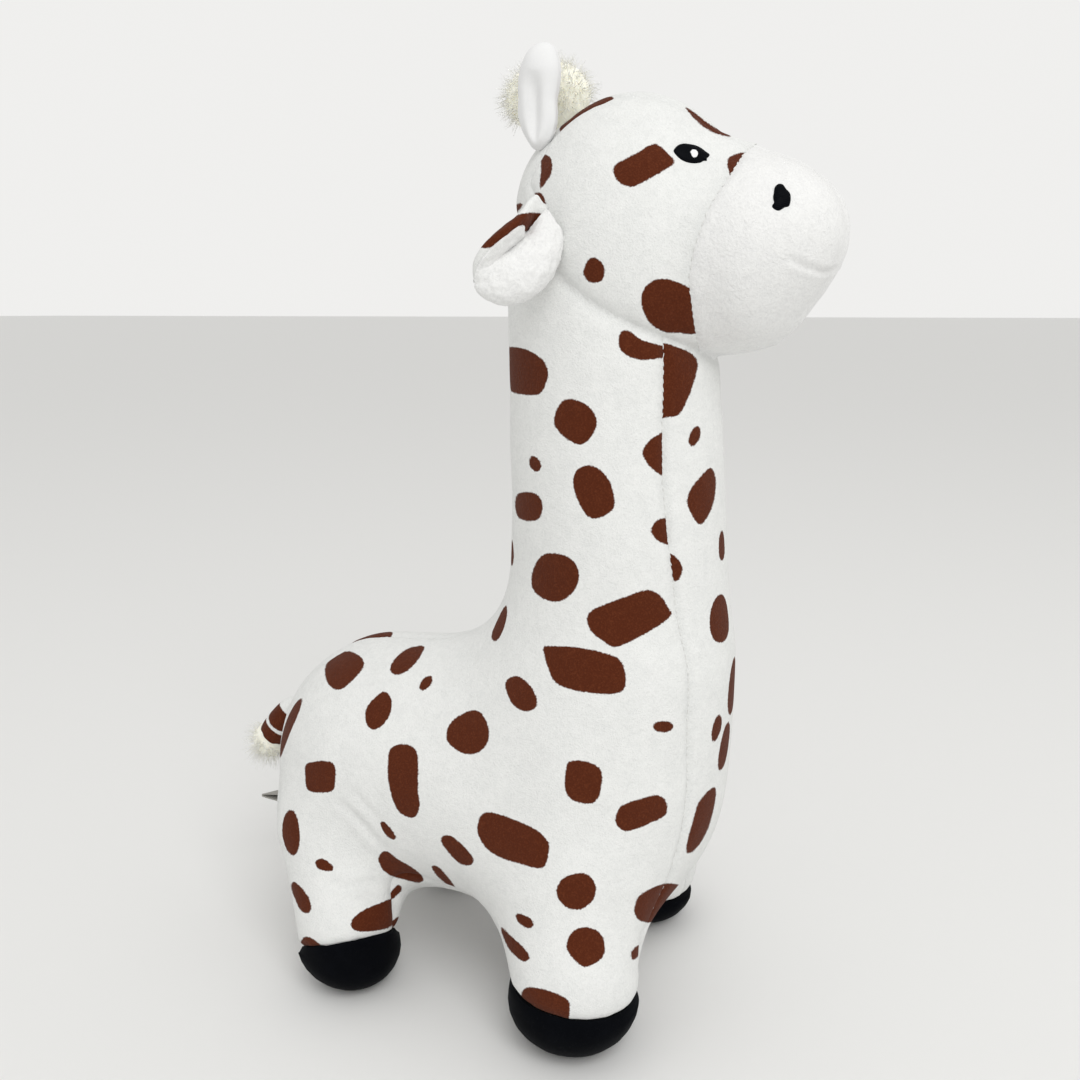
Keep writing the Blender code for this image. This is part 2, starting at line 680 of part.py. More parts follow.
for side, turn in (("right", -1), ("left", 1)):
    near_x, far_x = sorted((turn * GAP / 2, turn * OVERRUN))
    back_half = behind_muzzle("back_half", near_x, far_x, GAP / 2, OVERRUN)
    panel = copy_of(head_skin, "head_side_" + side)
    combine(panel, back_half, "INTERSECT")
    combine(panel, crown_outside, "DIFFERENCE")
    combine(panel, body_inside, "DIFFERENCE")
    dress(panel, white_plush)
    front_half = behind_muzzle("front_half", near_x, far_x, -OVERRUN, -GAP / 2)
    panel = copy_of(head_skin, "muzzle_" + side)
    combine(panel, front_half, "INTERSECT")
    combine(panel, body_inside, "DIFFERENCE")
    dress(panel, muzzle_plush)
    remove(back_half, front_half)

# Embroidery: thread laid on the cloth, cut to its outline square to the cheek
thread_skin = skin("thread_skin", head_net, -GAP - THREAD, -GAP)


def outline_cutter(name, place, turn, half_length, half_height, tilt, forward=0.0):
    """An elliptical plug square to the head at a place, for the right or the left side."""
    seat = on_form(head_distance, [(-turn * place[0], place[1], place[2])])
    normal, _ = outward(head_distance, seat)
    normal = Vector(normal[0])
    ahead, third = frame_along(normal, (0.0, -1.0, 0.0))
    up = third if third.z > 0 else -third
    long_way = ahead * math.cos(tilt) + up * math.sin(tilt)
    short_way = normal.cross(long_way)
    centre = Vector(seat[0]) + ahead * forward
    rings = []
    for reach in (-PATCH_REACH, PATCH_REACH):
        ring = []
        for index in range(PATCH_SIDES):
            angle = math.tau * index / PATCH_SIDES
            edge = long_way * half_length * math.cos(angle) + short_way * half_height * math.sin(angle)
            ring.append(centre + normal * reach + edge)
        rings.append(ring)
    return as_tool(tube(name, rings))


for side, turn in (("right", -1), ("left", 1)):
    eye_plug = outline_cutter("eye_plug", EYE_PLACE, turn, EYE_LENGTH / 2, EYE_HEIGHT / 2, EYE_TILT)
    glint_room = outline_cutter("glint_room", EYE_PLACE, turn, GLINT_RADIUS + GAP, GLINT_RADIUS + GAP, 0.0,
                                GLINT_FORWARD)
    glint_plug = outline_cutter("glint_plug", EYE_PLACE, turn, GLINT_RADIUS, GLINT_RADIUS, 0.0, GLINT_FORWARD)
    nostril_plug = outline_cutter("nostril_plug", NOSTRIL_PLACE, turn, NOSTRIL_LENGTH / 2,
                                  NOSTRIL_HEIGHT / 2, NOSTRIL_TILT)
    eye = copy_of(thread_skin, "eye_" + side)
    combine(eye, eye_plug, "INTERSECT")
    combine(eye, glint_room, "DIFFERENCE")
    dress(eye, black_thread)
    glint = copy_of(thread_skin, "eye_glint_" + side)
    combine(glint, glint_plug, "INTERSECT")
    dress(glint, white_thread)
    nostril = copy_of(thread_skin, "nostril_" + side)
    combine(nostril, nostril_plug, "INTERSECT")
    dress(nostril, black_thread)
    remove(eye_plug, glint_room, glint_plug, nostril_plug)


def seat_on(distance, place, root_radius, cloth_names):
    """The centre of a round root that stands a gap off the cloth."""
    seat = on_form(distance, [place])
    normal, _ = outward(distance, seat)
    normal = Vector(normal[0])
    centre = Vector(seat[0]) + normal * (root_radius + GAP)
    for _ in range(LANDING_ROUNDS):
        clear = OVERRUN
        for name in cloth_names:
            found, nearest, _, _ = bpy.data.objects[name].closest_point_on_mesh(centre)
            if found:
                clear = min(clear, (centre - nearest).length)
        centre += normal * (root_radius + GAP - clear)
    return centre


def round_root(radius):
    """The half ball at the start of a limb, as stations for rounded_limb."""
    stations = []
    for angle in ROOT_RING_ANGLES:
        half = math.cos(angle) * radius
        stations.append((math.sin(angle) * radius, half, half, 0.0))
    return stations


def mirror_vector(vector):
    return Vector((-vector[0], vector[1], vector[2]))


# Ears: two cupped layers, the back one gathered into the root
def ear_layer(name, root, outward_way, opening, start, inner, outer):
    """One cupped layer between two offsets outside the cup's inner surface."""
    across = outward_way.cross(opening)
    swell_places = np.linspace(0.0, 1.0, len(EAR_SWELL_SHARES))
    rings = []
    for station in range(EAR_STATIONS + 1):
        share = station / EAR_STATIONS
        distance = start + (EAR_LENGTH - start) * share
        along_share = distance / EAR_LENGTH
        swell = float(np.interp(along_share, swell_places, EAR_SWELL_SHARES))
        half_width = EAR_ROOT_WIDTH / 2 + (EAR_WIDTH - EAR_ROOT_WIDTH) / 2 * swell
        curl = EAR_ROOT_CURL + (EAR_TIP_CURL - EAR_ROOT_CURL) * along_share
        radius = half_width / curl
        centre = root + outward_way * distance + opening * radius
        ring = []
        for offset, order in ((outer, range(EAR_SPOKES)), (inner, reversed(range(EAR_SPOKES)))):
            for spoke in order:
                angle = curl * (2.0 * spoke / (EAR_SPOKES - 1) - 1.0)
                way = across * math.sin(angle) - opening * math.cos(angle)
                ring.append(centre + way * (radius + offset))
        rings.append(ring)
    layer_piece = tube(name, rings)
    shape = bmesh.new()
    shape.from_mesh(layer_piece.data)
    bmesh.ops.recalc_face_normals(shape, faces=shape.faces)
    bmesh.ops.triangulate(shape, faces=shape.faces)
    shape.to_mesh(layer_piece.data)
    shape.free()
    return layer_piece


bpy.context.view_layer.update()
ear_root = seat_on(head_distance, EAR_SEAT, EAR_ROOT_RADIUS, ("head_side_right", "crown_gusset"))
for side in ("right", "left"):
    flip = (lambda vector: Vector(vector)) if side == "right" else mirror_vector
    root = flip(ear_root)
    outward_way = flip(EAR_OUTWARD)
    opening = flip(EAR_OPENING)
    opening = (opening - outward_way * opening.dot(outward_way)).normalized()
    back = ear_layer("ear_back_" + side, root, outward_way, opening, EAR_ROOT_RADIUS / 2, GAP, GAP + EAR_LAYER)
    bulb_shape = bmesh.new()
    bmesh.ops.create_icosphere(bulb_shape, subdivisions=BALL_SUBDIVISION_COUNT, radius=EAR_ROOT_RADIUS)
    bmesh.ops.translate(bulb_shape, vec=root, verts=bulb_shape.verts)
    bulb_mesh = bpy.data.meshes.new("ear_bulb")
    bulb_shape.to_mesh(bulb_mesh)
    bulb_shape.free()
    bulb = as_tool(add_object("ear_bulb", bulb_mesh))
    combine(back, bulb, "UNION")
    remove(bulb)
    dress(back, white_plush)
    pivot_at(back, root)
    lining = ear_layer("ear_lining_" + side, root, outward_way, opening, EAR_ROOT_RADIUS + EAR_LINING_SETBACK,
                       -EAR_LAYER, 0.0)
    dress(lining, muzzle_plush)
    pivot_at(lining, root)

# Horns: narrow round roots that widen to a flattened, slightly bent tube
horn_root = seat_on(head_distance, HORN_SEAT, HORN_ROOT_RADIUS, ("head_side_right", "crown_gusset"))
for side, direction in (("right", RIGHT_HORN_DIRECTION), ("left", LEFT_HORN_DIRECTION)):
    root = horn_root if side == "right" else mirror_vector(horn_root)
    stations = round_root(HORN_ROOT_RADIUS)
    for along_share, depth_share, thickness_share in HORN_PROFILE_SHARES:
        shift = HORN_BEND * math.sin(math.pi * along_share)
        half_depth = HORN_DEPTH / 2 * depth_share
        half_thickness = HORN_THICKNESS / 2 * thickness_share
        stations.append((HORN_LENGTH * along_share, half_depth, half_thickness, shift))
    horn = rounded_limb("horn_" + side, root, direction, (0.0, 1.0, 0.0), stations, HORN_SIDES)
    dress(horn, smooth_cloth)
    pivot_at(horn, root)

# Crest: a domed pad that follows the crown
crest_rise = CRANIUM_RADII[2] + CREST_STAND - CREST_HEIGHT / 2
crest_shape = bmesh.new()
bmesh.ops.create_icosphere(crest_shape, subdivisions=CREST_SUBDIVISION_COUNT, radius=1.0)
crest_middle = Vector(CRANIUM_PLACE) + Vector((0.0, CREST_SETBACK, crest_rise))
crest_scale = Matrix.Diagonal((CREST_WIDTH / 2, CREST_LENGTH / 2, CREST_HEIGHT / 2, 1.0))
bmesh.ops.transform(crest_shape, matrix=Matrix.Translation(crest_middle) @ crest_scale, verts=crest_shape.verts)
crest_mesh = bpy.data.meshes.new("crest_tuft")
crest_shape.to_mesh(crest_mesh)
crest_shape.free()
crest = add_object("crest_tuft", crest_mesh)
combine(crest, head_clearance, "DIFFERENCE")
dress(crest, cream_pile)

# Tail: its round root sits in the back seam and the tuft hangs from its open end
tail_seat = (0.0, RUMP_Y + RUMP_RADIUS, TAIL_ROOT_Z)
tail_root = seat_on(body_distance, tail_seat, TAIL_ROOT_RADIUS, ("side_panel_right", "side_panel_left"))
stations = round_root(TAIL_ROOT_RADIUS)
for along_share, width_share in TAIL_PROFILE_SHARES:
    half = TAIL_RADIUS * width_share
    stations.append((TAIL_LENGTH * along_share, half, half, 0.0))
tail = rounded_limb("tail_cover", tail_root, TAIL_DIRECTION, (1.0, 0.0, 0.0), stations, TAIL_SIDES)
dress(tail, spotted_plush)
pivot_at(tail, tail_root)
tuft_start = TAIL_LENGTH + GAP
stations = []
for along_share, width_share in TAIL_TUFT_PROFILE_SHARES:
    half = TAIL_TUFT_RADIUS * width_share
    stations.append((tuft_start + TAIL_TUFT_LENGTH * along_share, half, half, 0.0))
tuft = rounded_limb("tail_tuft", tail_root, TAIL_DIRECTION, (1.0, 0.0, 0.0), stations, TAIL_SIDES)
dress(tuft, cream_pile)
pivot_at(tuft, tail_root)

# Tab: a bare strip of ribbon held in the seat seam
tab_seat = on_form(body_distance, [(0.0, RUMP_Y + RUMP_RADIUS, TAB_Z)])[0]
tab_low = (-TAB_WIDTH / 2, tab_seat[1] - TAB_WIDTH, TAB_Z - TAB_THICKNESS / 2)
tab_high = (TAB_WIDTH / 2, tab_seat[1] + TAB_LENGTH, TAB_Z + TAB_THICKNESS / 2)
tab = box("seam_tab", tab_low, tab_high)
tab.hide_render = False
tab.display_type = "TEXTURED"
body_clearance = as_tool(layer("body_clearance", body_net, -GAP))
combine(tab, body_clearance, "DIFFERENCE")
dress(tab, grey_ribbon)

remove(head_clearance, head_inside, body_inside, body_clearance, body_skin, head_skin, body_filling)
remove(thread_skin, gusset_inside, gusset_outside, torso_top, neck_span)
remove(crown_inside, crown_outside)

for piece in bpy.data.objects:
    piece.location.y -= LENGTH_MIDDLE_Y
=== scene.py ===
"""Looks of a standing plush giraffe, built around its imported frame.

It faces -Y and stands on Z = 0. Lengths are in metres, in the frame's own axes.
"""

import math

import bmesh
import bpy
import numpy as np
from mathutils import Matrix, Vector, noise
from mathutils.bvhtree import BVHTree
from mathutils.kdtree import KDTree


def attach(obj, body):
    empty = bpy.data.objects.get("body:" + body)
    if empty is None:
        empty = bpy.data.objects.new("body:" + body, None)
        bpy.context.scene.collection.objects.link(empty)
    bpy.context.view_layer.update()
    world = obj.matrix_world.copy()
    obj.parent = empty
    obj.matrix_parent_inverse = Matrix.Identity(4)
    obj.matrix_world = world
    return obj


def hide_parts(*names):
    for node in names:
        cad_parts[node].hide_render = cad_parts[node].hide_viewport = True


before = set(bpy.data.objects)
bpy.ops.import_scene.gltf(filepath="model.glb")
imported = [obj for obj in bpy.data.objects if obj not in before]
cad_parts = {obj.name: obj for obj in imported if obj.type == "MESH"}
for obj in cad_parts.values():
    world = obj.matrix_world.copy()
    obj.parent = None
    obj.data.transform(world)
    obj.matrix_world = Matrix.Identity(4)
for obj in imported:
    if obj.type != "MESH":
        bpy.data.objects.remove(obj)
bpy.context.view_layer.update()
MM = 0.001

# Camera, light and floor: the camera stands a little above the head and to the right of the toy,
# as the photograph's did; the light is a pale room with one large soft lamp.
PHOTO_SIDE = 1080
LENS_MM = 36.0
CAMERA_PLACE = Vector((-350.7 * MM, -152.5 * MM, 243.0 * MM))
CAMERA_HEADING = Vector((0.932, 0.364, 0.0)).normalized()
CAMERA_DIP = math.radians(12.0)
FOCAL = float(PHOTO_SIDE)
ahead = CAMERA_HEADING * math.cos(CAMERA_DIP) - Vector((0.0, 0.0, math.sin(CAMERA_DIP)))
rightward = ahead.cross(Vector((0.0, 0.0, 1.0))).normalized()
upward = rightward.cross(ahead)
camera_data = bpy.data.cameras.new("camera")
camera_data.lens = LENS_MM
camera_data.sensor_width = LENS_MM
camera_data.clip_start = 10.0 * MM
camera = bpy.data.objects.new("camera", camera_data)
camera.matrix_world = Matrix.LocRotScale(CAMERA_PLACE, ahead.to_track_quat("-Z", "Y"), None)
bpy.context.scene.collection.objects.link(camera)
bpy.context.scene.camera = camera
bpy.context.scene.view_settings.view_transform = "Standard"


def photo_ray(across, down):
    """The direction from the camera through a point of the photograph, in its pixels."""
    way = ahead + rightward * ((across - PHOTO_SIDE / 2) / FOCAL) - upward * ((down - PHOTO_SIDE / 2) / FOCAL)
    return way.normalized()


def photo_points(points):
    """Where points show in the photograph, in its pixels, and how far ahead they lie."""
    offset = points - np.array(CAMERA_PLACE)
    depth = offset @ np.array(ahead)
    across = PHOTO_SIDE / 2 + FOCAL * (offset @ np.array(rightward)) / depth
    down = PHOTO_SIDE / 2 - FOCAL * (offset @ np.array(upward)) / depth
    return np.stack((across, down), axis=1), depth


class Wire:
    """A socket in a material, on which sums and products add their own Math nodes."""

    def __init__(self, tree, socket=None):
        self.tree = tree
        self.socket = socket

    def node(self, kind, settings=None, sockets=None, result=0):
        """Adds a node: its settings first, then the values or wires of its sockets."""
        made = self.tree.nodes.new(kind)
        for name, value in (settings or {}).items():
            setattr(made, name, value)
        for name, value in (sockets or {}).items():
            if isinstance(value, Wire):
                self.tree.links.new(value.socket, made.inputs[name])
            else:
                made.inputs[name].default_value = value
        return Wire(self.tree, made.outputs[result])

    def sum(self, operation, first, second=0.0):
        return self.node("ShaderNodeMath", {"operation": operation}, {0: first, 1: second})

    def __add__(self, other):
        return self.sum("ADD", self, other)

    def __sub__(self, other):
        return self.sum("SUBTRACT", self, other)

    def __rsub__(self, other):
        return self.sum("SUBTRACT", other, self)

    def __mul__(self, other):
        return self.sum("MULTIPLY", self, other)

    def __truediv__(self, other):
        return self.sum("DIVIDE", self, other)

    __radd__ = __add__
    __rmul__ = __mul__

    def between(self, low, high):
        """0 below low, 1 above high and smooth between, or the other way round."""
        first, last = (1.0, 0.0) if low > high else (0.0, 1.0)
        sockets = {"Value": self, "From Min": min(low, high), "From Max": max(low, high),
                   "To Min": first, "To Max": last}
        return self.node("ShaderNodeMapRange", {"interpolation_type": "SMOOTHSTEP"}, sockets)

    def grain(self, size, detail=2.0, roughness=0.5, distortion=0.0):
        """Soft noise with features of a size, in the piece's own place."""
        place = self.node("ShaderNodeTexCoord", result=3)
        sockets = {"Vector": place, "Scale": 1.0 / size, "Detail": detail, "Roughness": roughness,
                   "Distortion": distortion}
        return self.node("ShaderNodeTexNoise", None, sockets)

    def attribute(self, name):
        return self.node("ShaderNodeAttribute", {"attribute_name": name}, result=2)

    def mix(self, share, first, second):
        """A blend of two colours."""
        return self.node("ShaderNodeMix", {"data_type": "RGBA"}, {0: share, 6: first, 7: second}, 2)

    def bump(self, height, strength, reach):
        return self.node("ShaderNodeBump", None, {"Height": height, "Strength": strength, "Distance": reach})

    def scaled(self, share):
        return self.node("ShaderNodeVectorMath", {"operation": "SCALE"}, {0: self, "Scale": share})

    def moved(self, other):
        return self.node("ShaderNodeVectorMath", {"operation": "ADD"}, {0: self, 1: other})


def new_finish(name, sockets):
    """A material around one Principled shader, from the values or wires of its sockets."""
    material = bpy.data.materials.new(name)
    material.use_nodes = True
    material.node_tree.nodes.remove(material.node_tree.nodes["Principled BSDF"])
    wire = Wire(material.node_tree)
    shader = wire.node("ShaderNodeBsdfPrincipled", None, sockets(wire) if callable(sockets) else sockets)
    output = next(node for node in material.node_tree.nodes if node.type == "OUTPUT_MATERIAL")
    material.node_tree.links.new(shader.socket, output.inputs["Surface"])
    return material


FLOOR_COLOUR = (0.80, 0.80, 0.79, 1.0)
ROOM_COLOUR = (1.0, 0.995, 0.98, 1.0)
ROOM_STRENGTH = 0.80
BACKDROP_STRENGTH = 0.87
LAMP_PLACE = Vector((-900.0 * MM, -750.0 * MM, 1250.0 * MM))
LAMP_SIDE = 900.0 * MM
LAMP_WATTS = 10.0
LAMP_AIM = Vector((0.0, 0.0, 150.0 * MM))
world = bpy.data.worlds.new("room")
bpy.context.scene.world = world
world.use_nodes = True
room = Wire(world.node_tree)
camera_ray, glossy_ray, through_ray = (
    room.node("ShaderNodeLightPath", result="Is " + kind + " Ray")
    for kind in ("Camera", "Glossy", "Transmission"))
seen = camera_ray + glossy_ray + through_ray
background = world.node_tree.nodes["Background"]
background.inputs["Color"].default_value = ROOM_COLOUR
world.node_tree.links.new(
    (seen * (BACKDROP_STRENGTH - ROOM_STRENGTH) + ROOM_STRENGTH).socket, background.inputs["Strength"])
lamp_data = bpy.data.lights.new("soft_lamp", "AREA")
lamp_data.size = LAMP_SIDE
lamp_data.energy = LAMP_WATTS
lamp = bpy.data.objects.new("soft_lamp", lamp_data)
lamp.matrix_world = Matrix.LocRotScale(
    LAMP_PLACE, (LAMP_AIM - LAMP_PLACE).to_track_quat("-Z", "Y"), None)
bpy.context.scene.collection.objects.link(lamp)

floor_mesh = bpy.data.meshes.new("floor")
FLOOR_REACH = 40000.0 * MM
floor_mesh.from_pydata(
    [(-FLOOR_REACH, -FLOOR_REACH, 0.0), (FLOOR_REACH, -FLOOR_REACH, 0.0), (FLOOR_REACH, FLOOR_REACH, 0.0),
     (-FLOOR_REACH, FLOOR_REACH, 0.0)], [], [(0, 1, 2, 3)])
floor_mesh.materials.append(new_finish("pale_floor", {"Base Color": FLOOR_COLOUR, "Roughness": 0.9}))
floor = bpy.data.objects.new("floor", floor_mesh)
bpy.context.scene.collection.objects.link(floor)

# Body cloth: one long panel down the front and under the belly and two side panels, cut from printed
# short-pile plush, sewn edge to edge and stuffed. The net is settled on the stuffed form, then cut along
# the seams, pulled in there by the thread, and given the thickness of the cloth.
CHEST = ((0.0, -32.9 * MM, 76.9 * MM), 50.7 * MM)
RUMP = ((0.0, 43.1 * MM, 73.9 * MM), 46.7 * MM)
TORSO_WIDTH_SHARE = 0.97
NECK_FOOT = ((0.0, -46.4 * MM, 133.0 * MM), 37.9 * MM)
NECK_TOP = ((0.0, -40.7 * MM, 259.0 * MM), 34.4 * MM)
NECK_BLEND = 40.0 * MM
FRONT_HIP = ((31.0 * MM, -38.5 * MM, 44.5 * MM), 24.4 * MM)
FRONT_FOOT = ((42.5 * MM, -44.4 * MM, 25.0 * MM), 21.8 * MM)
REAR_HIP = ((31.0 * MM, 61.7 * MM, 50.4 * MM), 13.4 * MM)
REAR_FOOT = ((41.0 * MM, 45.1 * MM, 23.0 * MM), 18.3 * MM)
LEG_BLEND = 22.0 * MM
BODY_LIMBS = (
    (*CHEST, *RUMP, TORSO_WIDTH_SHARE, 0.0),
    (*NECK_FOOT, *NECK_TOP, 1.0, NECK_BLEND),
    (*FRONT_HIP, *FRONT_FOOT, 1.0, LEG_BLEND),
    (*REAR_HIP, *REAR_FOOT, 1.0, LEG_BLEND),
)
CLOTH = 1.5 * MM
PROBE = 0.2 * MM
BODY_FACET = 5.6 * MM
SPLIT_ROUNDS = 2
SETTLE_ROUNDS = 12
LANDING_ROUNDS = 5
RELAX_SHARE = 0.35
SNAP = 0.05 * MM


def limb_distance(points, start, start_radius, end, end_radius, width_share=1.0):
    squeeze = np.array((1.0 / width_share, 1.0, 1.0))
    start = np.array(start)
    along = (np.array(end) - start) * squeeze
    offset = (points - start) * squeeze
    share = np.clip(offset @ along / (along @ along), 0.0, 1.0)
    radius = start_radius + (end_radius - start_radius) * share
    return np.linalg.norm(offset - share[:, None] * along, axis=1) - radius


def blended(first, second, reach):
    share = np.clip(0.5 + 0.5 * (second - first) / reach, 0.0, 1.0)
    return second + (first - second) * share - reach * share * (1.0 - share)


def body_distance(points):
    """How far points stand outside the stuffed body, below zero inside it."""
    mirrored = np.array(points, dtype=float)
    mirrored[:, 0] = np.abs(mirrored[:, 0])
    total = None
    for start, start_radius, end, end_radius, width_share, reach in BODY_LIMBS:
        limb = limb_distance(mirrored, start, start_radius, end, end_radius, width_share)
        total = limb if total is None else blended(total, limb, reach)
    return total


def outward(distance, points):
    """The way in which a form's distance grows fastest, and how fast."""
    slopes = np.empty_like(points)
    for axis in range(3):
        step = np.zeros(3)
        step[axis] = PROBE
        slopes[:, axis] = distance(points + step) - distance(points - step)
    slopes /= 2.0 * PROBE
    size = np.linalg.norm(slopes, axis=1)
    return slopes / size[:, None], size


def on_form(distance, points):
    """Moves points onto a form's surface."""
    points = np.array(points, dtype=float)
    for _ in range(LANDING_ROUNDS):
        way, slope = outward(distance, points)
        points -= way * (distance(points) / slope)[:, None]
    return points


def place_of(mesh):
    """The corners of a mesh as an array."""
    places = np.empty(len(mesh.vertices) * 3)
    mesh.vertices.foreach_get("co", places)
    return places.reshape(-1, 3)


def add_piece(name, mesh):
    piece = bpy.data.objects.new(name, mesh)
    bpy.context.scene.collection.objects.link(piece)
    return piece


def baked(piece):
    """The mesh that an object's modifiers make of it; the object itself goes."""
    graph = bpy.context.evaluated_depsgraph_get()
    mesh = bpy.data.meshes.new_from_object(piece.evaluated_get(graph))
    bpy.data.objects.remove(piece)
    return mesh


def divided(name, mesh, rounds):
    """The mesh with every face split and smoothed a number of times."""
    piece = add_piece(name, mesh)
    finer = piece.modifiers.new("Finer", "SUBSURF")
    finer.levels = finer.render_levels = rounds
    return baked(piece)


def ways_of(mesh):
    """The normals at the corners of a mesh as an array."""
    ways = np.empty(len(mesh.vertices) * 3, np.float32)
    mesh.vertices.foreach_get("normal", ways)
    return ways.reshape(-1, 3)


def closed_mesh(name, corners, faces):
    """A mesh whose faces all point outwards."""
    mesh = bpy.data.meshes.new(name)
    mesh.from_pydata(corners, [], faces)
    shape = bmesh.new()
    shape.from_mesh(mesh)
    bmesh.ops.recalc_face_normals(shape, faces=shape.faces)
    shape.to_mesh(mesh)
    shape.free()
    return mesh


def tube_faces(around, rings):
    """The faces of a tube of rings of corners, closed at both ends."""
    faces = [tuple(reversed(range(around)))]
    for base in range(0, around * (rings - 1), around):
        for index in range(around):
            after = (index + 1) % around
            faces.append((base + index, base + after, base + around + after, base + around + index))
    faces.append(tuple(range(around * (rings - 1), around * rings)))
    return faces


def keep_value(mesh, label, value):
    """Keeps a value at each corner as an attribute that a material can read."""
    attribute = mesh.attributes.new(label, "FLOAT", "POINT")
    attribute.data.foreach_set("value", np.asarray(value, dtype=np.float32))


def settled_net(balls, facet, distance):
    """A closed, even, fine net of four-sided facets on a form, as an open bmesh."""
    blank = bmesh.new()
    for start, start_radii, end, end_radii in balls:
        start, end, start_radii, end_radii = map(Vector, (start, end, start_radii, end_radii))
        steps = 1 + math.ceil((end - start).length / (min(*start_radii, *end_radii) / 2))
        for step in range(steps + 1):
            made = bmesh.ops.create_icosphere(blank, subdivisions=2, radius=1.0)
            size = Matrix.Diagonal((*start_radii.lerp(end_radii, step / steps), 1.0))
            place = Matrix.Translation(start.lerp(end, step / steps))
            bmesh.ops.transform(blank, matrix=place @ size, verts=made["verts"])
    mesh = bpy.data.meshes.new("blank")
    blank.to_mesh(mesh)
    blank.free()
    piece = add_piece("blank", mesh)
    remesh = piece.modifiers.new("Net", "REMESH")
    remesh.mode = "VOXEL"
    remesh.voxel_size = facet
    mesh = baked(piece)
    places = place_of(mesh)
    pairs = np.array([edge.vertices for edge in mesh.edges])
    degree = np.bincount(pairs.reshape(-1), minlength=len(places))[:, None]
    for _ in range(SETTLE_ROUNDS):
        middle = np.zeros_like(places)
        np.add.at(middle, pairs[:, 0], places[pairs[:, 1]])
        np.add.at(middle, pairs[:, 1], places[pairs[:, 0]])
        places = on_form(distance, places + (middle / degree - places) * RELAX_SHARE)
    mesh.vertices.foreach_set("co", places.reshape(-1))
    mesh = divided("blank", mesh, SPLIT_ROUNDS)
    mesh.vertices.foreach_set("co", on_form(distance, place_of(mesh)).reshape(-1))
    net = bmesh.new()
    net.from_mesh(mesh)
    bpy.data.meshes.remove(mesh)
    return net


def corner_places(net):
    return np.array([corner.co for corner in net.verts], dtype=float)


def cut_where_zero(net, value_of):
    """Splits the facets of a net along the line where a value passes zero."""
    rest = net.verts.layers.float_vector.get("rest") or net.verts.layers.float_vector.new("rest")
    values = value_of(corner_places(net))
    for corner, value in zip(net.verts, values):
        corner[rest] = corner.co
        corner.co.x = value
    bmesh.ops.bisect_plane(net, geom=net.verts[:] + net.edges[:] + net.faces[:], dist=SNAP,
                           plane_co=(0.0, 0.0, 0.0), plane_no=(1.0, 0.0, 0.0))
    for corner in net.verts:
        corner.co = corner[rest]


def band_half_width(stations, heights, outside):
    """Half widths of a sewn band at points given as (y, z); outside where it isn't.

    Each station is an inner and an outer point of the Y-Z plane and the half width between them.
    """
    found = np.full(len(heights), outside)
    for (inner, outer, width), (next_inner, next_outer, next_width) in zip(stations, stations[1:]):
        for corners, widths in (
            ((inner, outer, next_outer), (width, width, next_width)),
            ((inner, next_outer, next_inner), (width, next_width, next_width)),
        ):
            first, second, third = (np.array(corner) for corner in corners)
            side = np.stack((second - first, third - first), axis=1)
            shares = np.linalg.solve(side, (heights - first).T).T
            inside = (shares.min(axis=1) >= 0.0) & (shares.sum(axis=1) <= 1.0)
            value = widths[0] + shares @ (np.array(widths[1:]) - widths[0])
            found[inside] = value[inside]
    return found


# Half widths of the front panel down the neck and chest, by height
FRONT_PANEL = (
    (259.0 * MM, 24.5 * MM), (228.8 * MM, 25.4 * MM), (210.0 * MM, 26.6 * MM), (192.0 * MM, 27.4 * MM),
    (172.0 * MM, 27.0 * MM), (146.0 * MM, 25.8 * MM), (133.0 * MM, 25.4 * MM), (113.0 * MM, 26.2 * MM),
    (92.0 * MM, 25.0 * MM), (77.0 * MM, 25.4 * MM),
)
CHEST_CORNER = Vector((-73.9 * MM, 50.0 * MM))
CHEST_CORNER_HALF = 25.6 * MM
LEG_CORNER = Vector((-68.9 * MM, 36.0 * MM))
LEG_CORNER_HALF = 33.5 * MM
THIGH_HALF = 37.5 * MM
BELLY_HALF = 31.0 * MM
SEAT_HALF = 22.0 * MM
SEAT_TIP = (84.0 * MM, 1.5 * MM)
SEAT_END = (88.0 * MM, -1.0 * MM)
CORE_Z = 63.8 * MM
REAR_CORE_Z = 73.9 * MM
OVERRUN = 120.0 * MM
middle_y = NECK_TOP[0][1]
front_y = CHEST[0][1] - OVERRUN
rear_y = RUMP[0][1] + OVERRUN
below_z = -OVERRUN / 4
chest_core = Vector((middle_y, CORE_Z))
rear_leg_y = REAR_FOOT[0][1]
back_of_leg_y = FRONT_FOOT[0][1] + FRONT_FOOT[1]
gusset_stations = [((middle_y, height), (front_y, height), half) for height, half in FRONT_PANEL]
